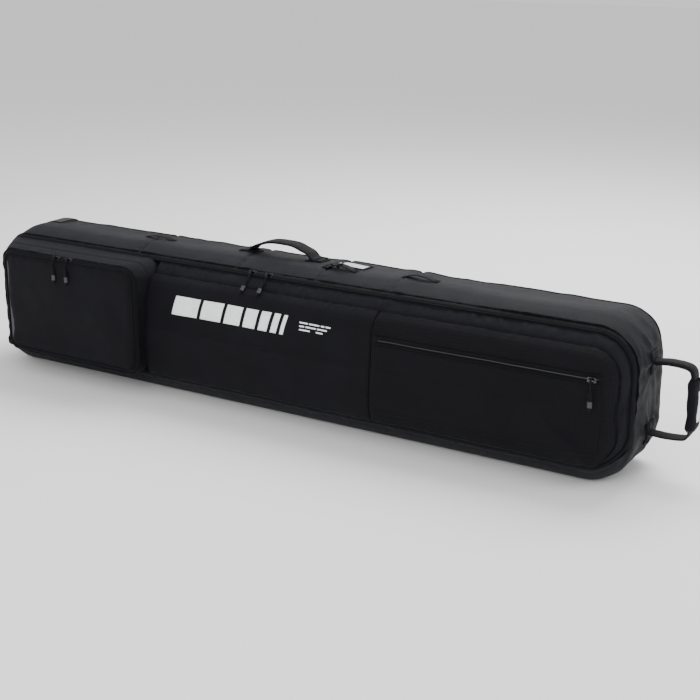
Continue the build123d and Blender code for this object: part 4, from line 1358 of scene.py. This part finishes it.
tab_route = [(tab_x, tab_y - 0.0105, tab_base + 0.0035), (tab_x, tab_y - 0.0118, tab_base + 0.0075),
             (tab_x, tab_y - 0.006, tab_base + 0.0118), (tab_x, tab_y, tab_base + 0.0112),
             (tab_x, tab_y + 0.006, tab_base + 0.0105)]
tab = sweep("lash_tab_fold", smooth_rows(tab_route, 20), (1, 0, 0), flat_section(0.009, 0.0014), BINDING)
finish_piece(tab, "root", "binding", "lash_tab")

# %% Name window
id_low, id_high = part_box("id_window")
frame_low, frame_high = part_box("id_frame")
id_middle = ((id_low.x + id_high.x) / 2, (id_low.y + id_high.y) / 2, 0.34)
id_size = (id_high.x - id_low.x, id_high.y - id_low.y)
frame_size = (frame_high.x - frame_low.x, frame_high.y - frame_low.y)
X, Y = (1, 0, 0), (0, 1, 0)
border = patch("name_window_border", id_middle, X, Y, frame_size, DOWN, on_tub, 0.0004, BINDING, 0.0012,
               (30, 18))
finish_piece(border, "root", "binding", "id_frame")
card = patch("name_card", id_middle, X, Y, id_size, DOWN, on_tub, 0.0013, CARD, 0.0005, (26, 14))
finish_piece(card, "root", "label", "id_card")
film = patch("name_film", id_middle, X, Y, id_size, DOWN, on_tub, 0.0018, FILM, 0.0003, (26, 14))
finish_piece(film, "root", "clear_film", "id_window")
for k, (dx, dy, length, along, across) in enumerate((
    (0, -id_size[1] / 2 - 0.0015, id_size[0] + 0.006, X, Y),
    (0, id_size[1] / 2 + 0.0015, id_size[0] + 0.006, X, Y),
    (-id_size[0] / 2 - 0.0015, 0, id_size[1] + 0.006, Y, X),
    (id_size[0] / 2 + 0.0015, 0, id_size[1] + 0.006, Y, X),
)):
    strip = patch(f"name_window_edge_{k}", (id_middle[0] + dx, id_middle[1] + dy, 0.34), along, across,
                  (length, 0.0050), DOWN, on_tub, 0.0016, BINDING, 0.0012, (30, 4))
    finish_piece(strip, "root", "binding")

# %% [markdown]
# ## Tow handle
# The handle stands out from the right end. Its strap is folded to a narrow round at the top and runs
# down into a padded sleeve, and comes back to the lower patch as a plain thin strap.

# %% Building the tow handle
strap_low, strap_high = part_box("tow_handle_strap")
grip_low, grip_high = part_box("tow_handle_grip")
label_low, label_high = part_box("tow_handle_label")
tow_y = (strap_low.y + strap_high.y) / 2
upper_z, lower_z = ANCHORS[1], ANCHORS[0]
grip_x = (grip_low.x + grip_high.x) / 2


def tow_strap(name, route, width, thickness, steps=50):
    """A strap in the upright plane through the handle."""
    path = smooth_rows([(x, tow_y, z) for x, z in route], steps)
    strap = sweep(name, path, (0, 1, 0), flat_section(width, thickness), WEBBING)
    return blended(strap)


upper_route = [(RIGHT - 0.004, upper_z), (RIGHT + 0.012, upper_z + 0.001), (RIGHT + 0.040, upper_z + 0.004),
               (grip_x - 0.014, upper_z + 0.001), (grip_x - 0.002, upper_z - 0.010),
               (grip_x, grip_high.z - 0.012)]
lower_route = [(RIGHT - 0.004, lower_z), (RIGHT + 0.012, lower_z - 0.001), (RIGHT + 0.040, lower_z - 0.002),
               (grip_x - 0.014, lower_z + 0.001), (grip_x - 0.003, lower_z + 0.009),
               (grip_x, grip_low.z + 0.010)]
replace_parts(tow_strap("tow_strap_upper", upper_route, 0.030, 0.0090), "tow_handle_strap")
tow_strap("tow_strap_lower", lower_route, 0.034, 0.0036)


def sleeve():
    """The padded sleeve: a soft flattened tube, pulled in at both ends."""
    rows = []
    height = grip_high.z - grip_low.z
    for t in np.linspace(0, 1, 44):
        swell = ((1 - 0.25 * groove(t, 0.04) - 0.25 * groove(1 - t, 0.04))
                 * (1 + 0.03 * math.sin(5 * t * math.pi)))
        ring_points = []
        for angle in np.linspace(0, 2 * math.pi, 48, endpoint=False):
            c, s = math.cos(angle), math.sin(angle)
            x = (grip_high.x - grip_low.x) / 2 * swell * abs(c) ** 0.7 * math.copysign(1, c)
            y = (grip_high.y - grip_low.y) / 2 * swell * abs(s) ** 0.7 * math.copysign(1, s)
            bow = 0.002 * math.sin(t * math.pi)
            ring_points.append((grip_x + bow + x, tow_y + y, grip_low.z + t * height))
        rows.append(ring_points)
    return np.array(rows)


sleeve_panel = Panel(sleeve(), (grip_x, tow_y, (grip_low.z + grip_high.z) / 2))
sleeve_height = soft_noise(sleeve_panel.points, (0.012, 0.012, 0.02), 71) * 0.0010
sleeve_cloth = sheet_mesh("tow_sleeve", sleeve_panel.raised(sleeve_height), CLOTH, closed=True,
                          flip=sleeve_panel.flip)
thicken(sleeve_cloth, 0.0014)
finish_piece(sleeve_cloth, "tow_handle", "pull_grip", "tow_handle_grip")
on_sleeve = cloth_under(sleeve_cloth)
label_strip = patch("tow_label", (grip_x + 0.03, tow_y - 0.002, (label_low.z + label_high.z) / 2), (0, 0, 1),
                    (0, 1, 0),
                    (label_high.z - label_low.z, label_high.y - label_low.y), (-1, 0, 0), on_sleeve,
                    0.0006, PRINT, 0.0006)
finish_piece(label_strip, "tow_handle", "label", "tow_handle_label")


for k, z in enumerate(ANCHORS):
    sewn = patch(f"tow_patch_{k}", (RIGHT, tow_y, z), (0, 1, 0), (0, 0, 1), (0.046, 0.046), (-1, 0, 0),
                 on_tub,
                 0.0014, WEBBING, 0.0022, (16, 16))
    finish_piece(sewn, "root", "webbing", *(["tow_handle_patches"] if k == 0 else []))
    box_stitch(f"tow_patch_stitch_{k}", (RIGHT, tow_y, z), (0, 1, 0), (0, 0, 1), (0.038, 0.038), (-1, 0, 0),
               on_tub,
               0.0028, "root")

# %% [markdown]
# ## Pulls
# Under the slider hangs the cord, whose two ends go into a moulded grip. On the real bag a short
# sleeve of twisted cord runs above and below a glossy grey block, and the tail ends in a point.


# %% Moulding the grips
def grip(name, route, angle):
    """A pull's grip: twisted cord, a glossy block, and a pointed tail."""
    eye = joint_place(f"{name}_pull_swing")
    start_y = (route[0][0] + route[-1][0]) / 2
    lean_back = angle
    rows, blocks = [], []
    length = 0.044
    for t in np.linspace(0, 1, 90):
        inside = 0.46 < t < 0.74
        width = 0.0044 if not inside else 0.0052
        if t < 0.05:
            width *= 0.6 + 8 * t
        if t > 0.74:
            width = 0.0044 * max(0.12, 1 - ((t - 0.74) / 0.26) ** 1.8)
        ring_points = []
        for turn in np.linspace(0, 2 * math.pi, 20, endpoint=False):
            twist = 1.0 if inside else 1 + 0.17 * math.cos(2 * turn - 60 * t)
            if inside:
                twist += 0.05 * math.cos(10 * (t - 0.46) / 0.28 * math.pi)
            across = width * twist * math.cos(turn)
            depth = width * 0.66 * twist * math.sin(turn)
            y, z = lean((start_y + depth, -0.024 - t * length), lean_back)
            ring_points.append((eye.x + across, eye.y + y, eye.z + z))
        rows.append(ring_points)
        blocks.append(inside)
    panel = np.array(rows)
    faces = []
    rows_count, around, _ = panel.shape
    for j in range(rows_count - 1):
        for i in range(around):
            k = (i + 1) % around
            faces.append((j * around + i, j * around + k, (j + 1) * around + k, (j + 1) * around + i))
    faces.append(list(range(around))[::-1])
    faces.append([(rows_count - 1) * around + i for i in range(around)])
    mesh = bpy.data.meshes.new(f"{name}_grip")
    mesh.from_pydata(panel.reshape(-1, 3).tolist(), [], faces)
    mesh.uv_layers.new(name="UVMap")
    thing = link(mesh, f"{name}_grip", WEBBING)
    mesh.materials.append(GRIP)
    for j in range(rows_count - 1):
        for i in range(around):
            mesh.polygons[j * around + i].material_index = int(blocks[j] or blocks[j + 1])
    bm = bmesh.new()
    bm.from_mesh(mesh)
    bmesh.ops.recalc_face_normals(bm, faces=bm.faces)
    bm.to_mesh(mesh)
    bm.free()
    finish_piece(thing, f"{name}_pull", "pull_grip", f"{name}_pull_grip")


for name, (route, angle) in PULLS.items():
    grip(name, route, angle)

# %% [markdown]
# ## Print
# White print on the front: a row of slanted bars that get narrower, and a small block of fine bars
# beside it. Both are only a thin layer of ink laid on the wrinkled cloth.

# %% Printing the front
PRINT_LOW, PRINT_HIGH = 0.216, 0.261
SLANT = 0.012


def ink(name, corners, steps):
    """A thin layer of print between four corners in X and Z."""
    thing = laid_sheet(name, corners, PRINT, "lid", 0.00035, steps, thickness=0.0003)
    return thing


start = -0.262
for k, width in enumerate((0.072, 0.058, 0.045, 0.034, 0.025, 0.017, 0.010)):
    stop = start + width
    ink(f"print_bar_{k}", ((start, PRINT_LOW), (stop, PRINT_LOW), (stop + SLANT, PRINT_HIGH),
                           (start + SLANT, PRINT_HIGH)), (max(6, int(width / 0.003)), 14))
    start = stop + 0.009
print("print ends at", round(start, 3))
FINE_ROWS = (
    (0.2505, ((0.096, 0.118), (0.121, 0.149), (0.153, 0.162), (0.165, 0.178))),
    (0.2425, ((0.096, 0.109), (0.112, 0.140), (0.143, 0.169))),
    (0.2345, ((0.096, 0.124), (0.140, 0.158))),
)
for k, (z, bars) in enumerate(FINE_ROWS):
    for m, (x0, x1) in enumerate(bars):
        ink(f"fine_bar_{k}_{m}", ((x0, z - 0.0017), (x1, z - 0.0017), (x1, z + 0.0017), (x0, z + 0.0017)),
            (8, 3))

# %% [markdown]
# ## Stitching
# Seams on the front are topstitched once on each side, and the gusset once along the zip. Thread is
# the same black as the cloth, so only its shape shows.

# %% Sewing the long seams
def ring_stitch(name, panel, heights, row, body, keep=None, proud=0.0002):
    """A row of stitches along one row of a closed panel, where keep says so."""
    path = panel.raised(heights + proud)[row]
    outward = panel.out[row]
    if keep is not None:
        path, outward = open_run(path, outward, keep)
    else:
        path = np.concatenate([path, path[:1]])
        outward = np.concatenate([outward, outward[:1]])
    stitches(name, path, outward, body)


ring_stitch("gusset_topstitch", gusset, relief, len(gusset.arc) - 3, "root")


def band_run(middles):
    return (middles[:, 0] > POCKET_X) & (middles[:, 2] > 0.070)


ring_stitch("band_topstitch", lid, lid_height, SEAM_STATION * LID_STEPS - 2, "lid", band_run)
ring_stitch("face_topstitch", lid, lid_height, SEAM_STATION * LID_STEPS + 4, "lid", band_run)
ring_stitch("lid_zip_topstitch", lid, lid_height, 3, "lid", band_run)
ring_stitch("pocket_wall_topstitch", walls, wall_height, len(walls.arc) - 3, "lid")
ring_stitch("pocket_flap_topstitch", flap, flap_height, 3, "boot_flap")


def upright_stitch(name, x, z0, z1, proud=0.0003):
    path = [on_front(x, z, proud) for z in np.linspace(z0, z1, 60)]
    stitches(name, path, (0, -1, 0), "lid")


upright_stitch("girth_stitch", GIRTH_X + 0.007, 0.075, 0.270)
upright_stitch("end_stitch", flat_high.x - 0.004, 0.085, 0.262)
stitches("flat_zip_stitch_upper",
         front_line(flat_low.x, flat_high.x, FLAT_ZIP_Z + 0.012, FLAT_ZIP_Z + 0.012, 0.0003),
         (0, -1, 0), "lid")
stitches("flat_zip_stitch_lower",
         front_line(flat_low.x, flat_high.x, FLAT_ZIP_Z - 0.011, FLAT_ZIP_Z - 0.011, 0.0026),
         (0, -1, 0), "lid")
stitches("flat_bottom_stitch",
         front_line(flat_low.x, flat_high.x, flat_low.z + 0.005, flat_low.z + 0.005, 0.0016),
         (0, -1, 0), "lid")

# %% [markdown]
# ## Hardware from CAD
# Sliders, wheels, axles, rivets and the corner tray are exact in CAD, so they stay and only get their
# finish.

# %% Finishing the hardware
FINISHES = {
    "_slider": LACQUER, "wheel_tray": TRAY, "wheel_axles": STEEL, "tray_rivets": STEEL,
    "wheel_bearings": STEEL, "wheel_lower": URETHANE, "wheel_upper": URETHANE,
}
for node, thing in frame["nodes"].items():
    for key, material in FINISHES.items():
        if key in node:
            thing.data.materials.clear()
            thing.data.materials.append(material)
            print(node, material.name)
            break

stays = [node for node, thing in frame["nodes"].items() if not thing.hide_render]
print("CAD pieces that stay in sight:", sorted(stays))
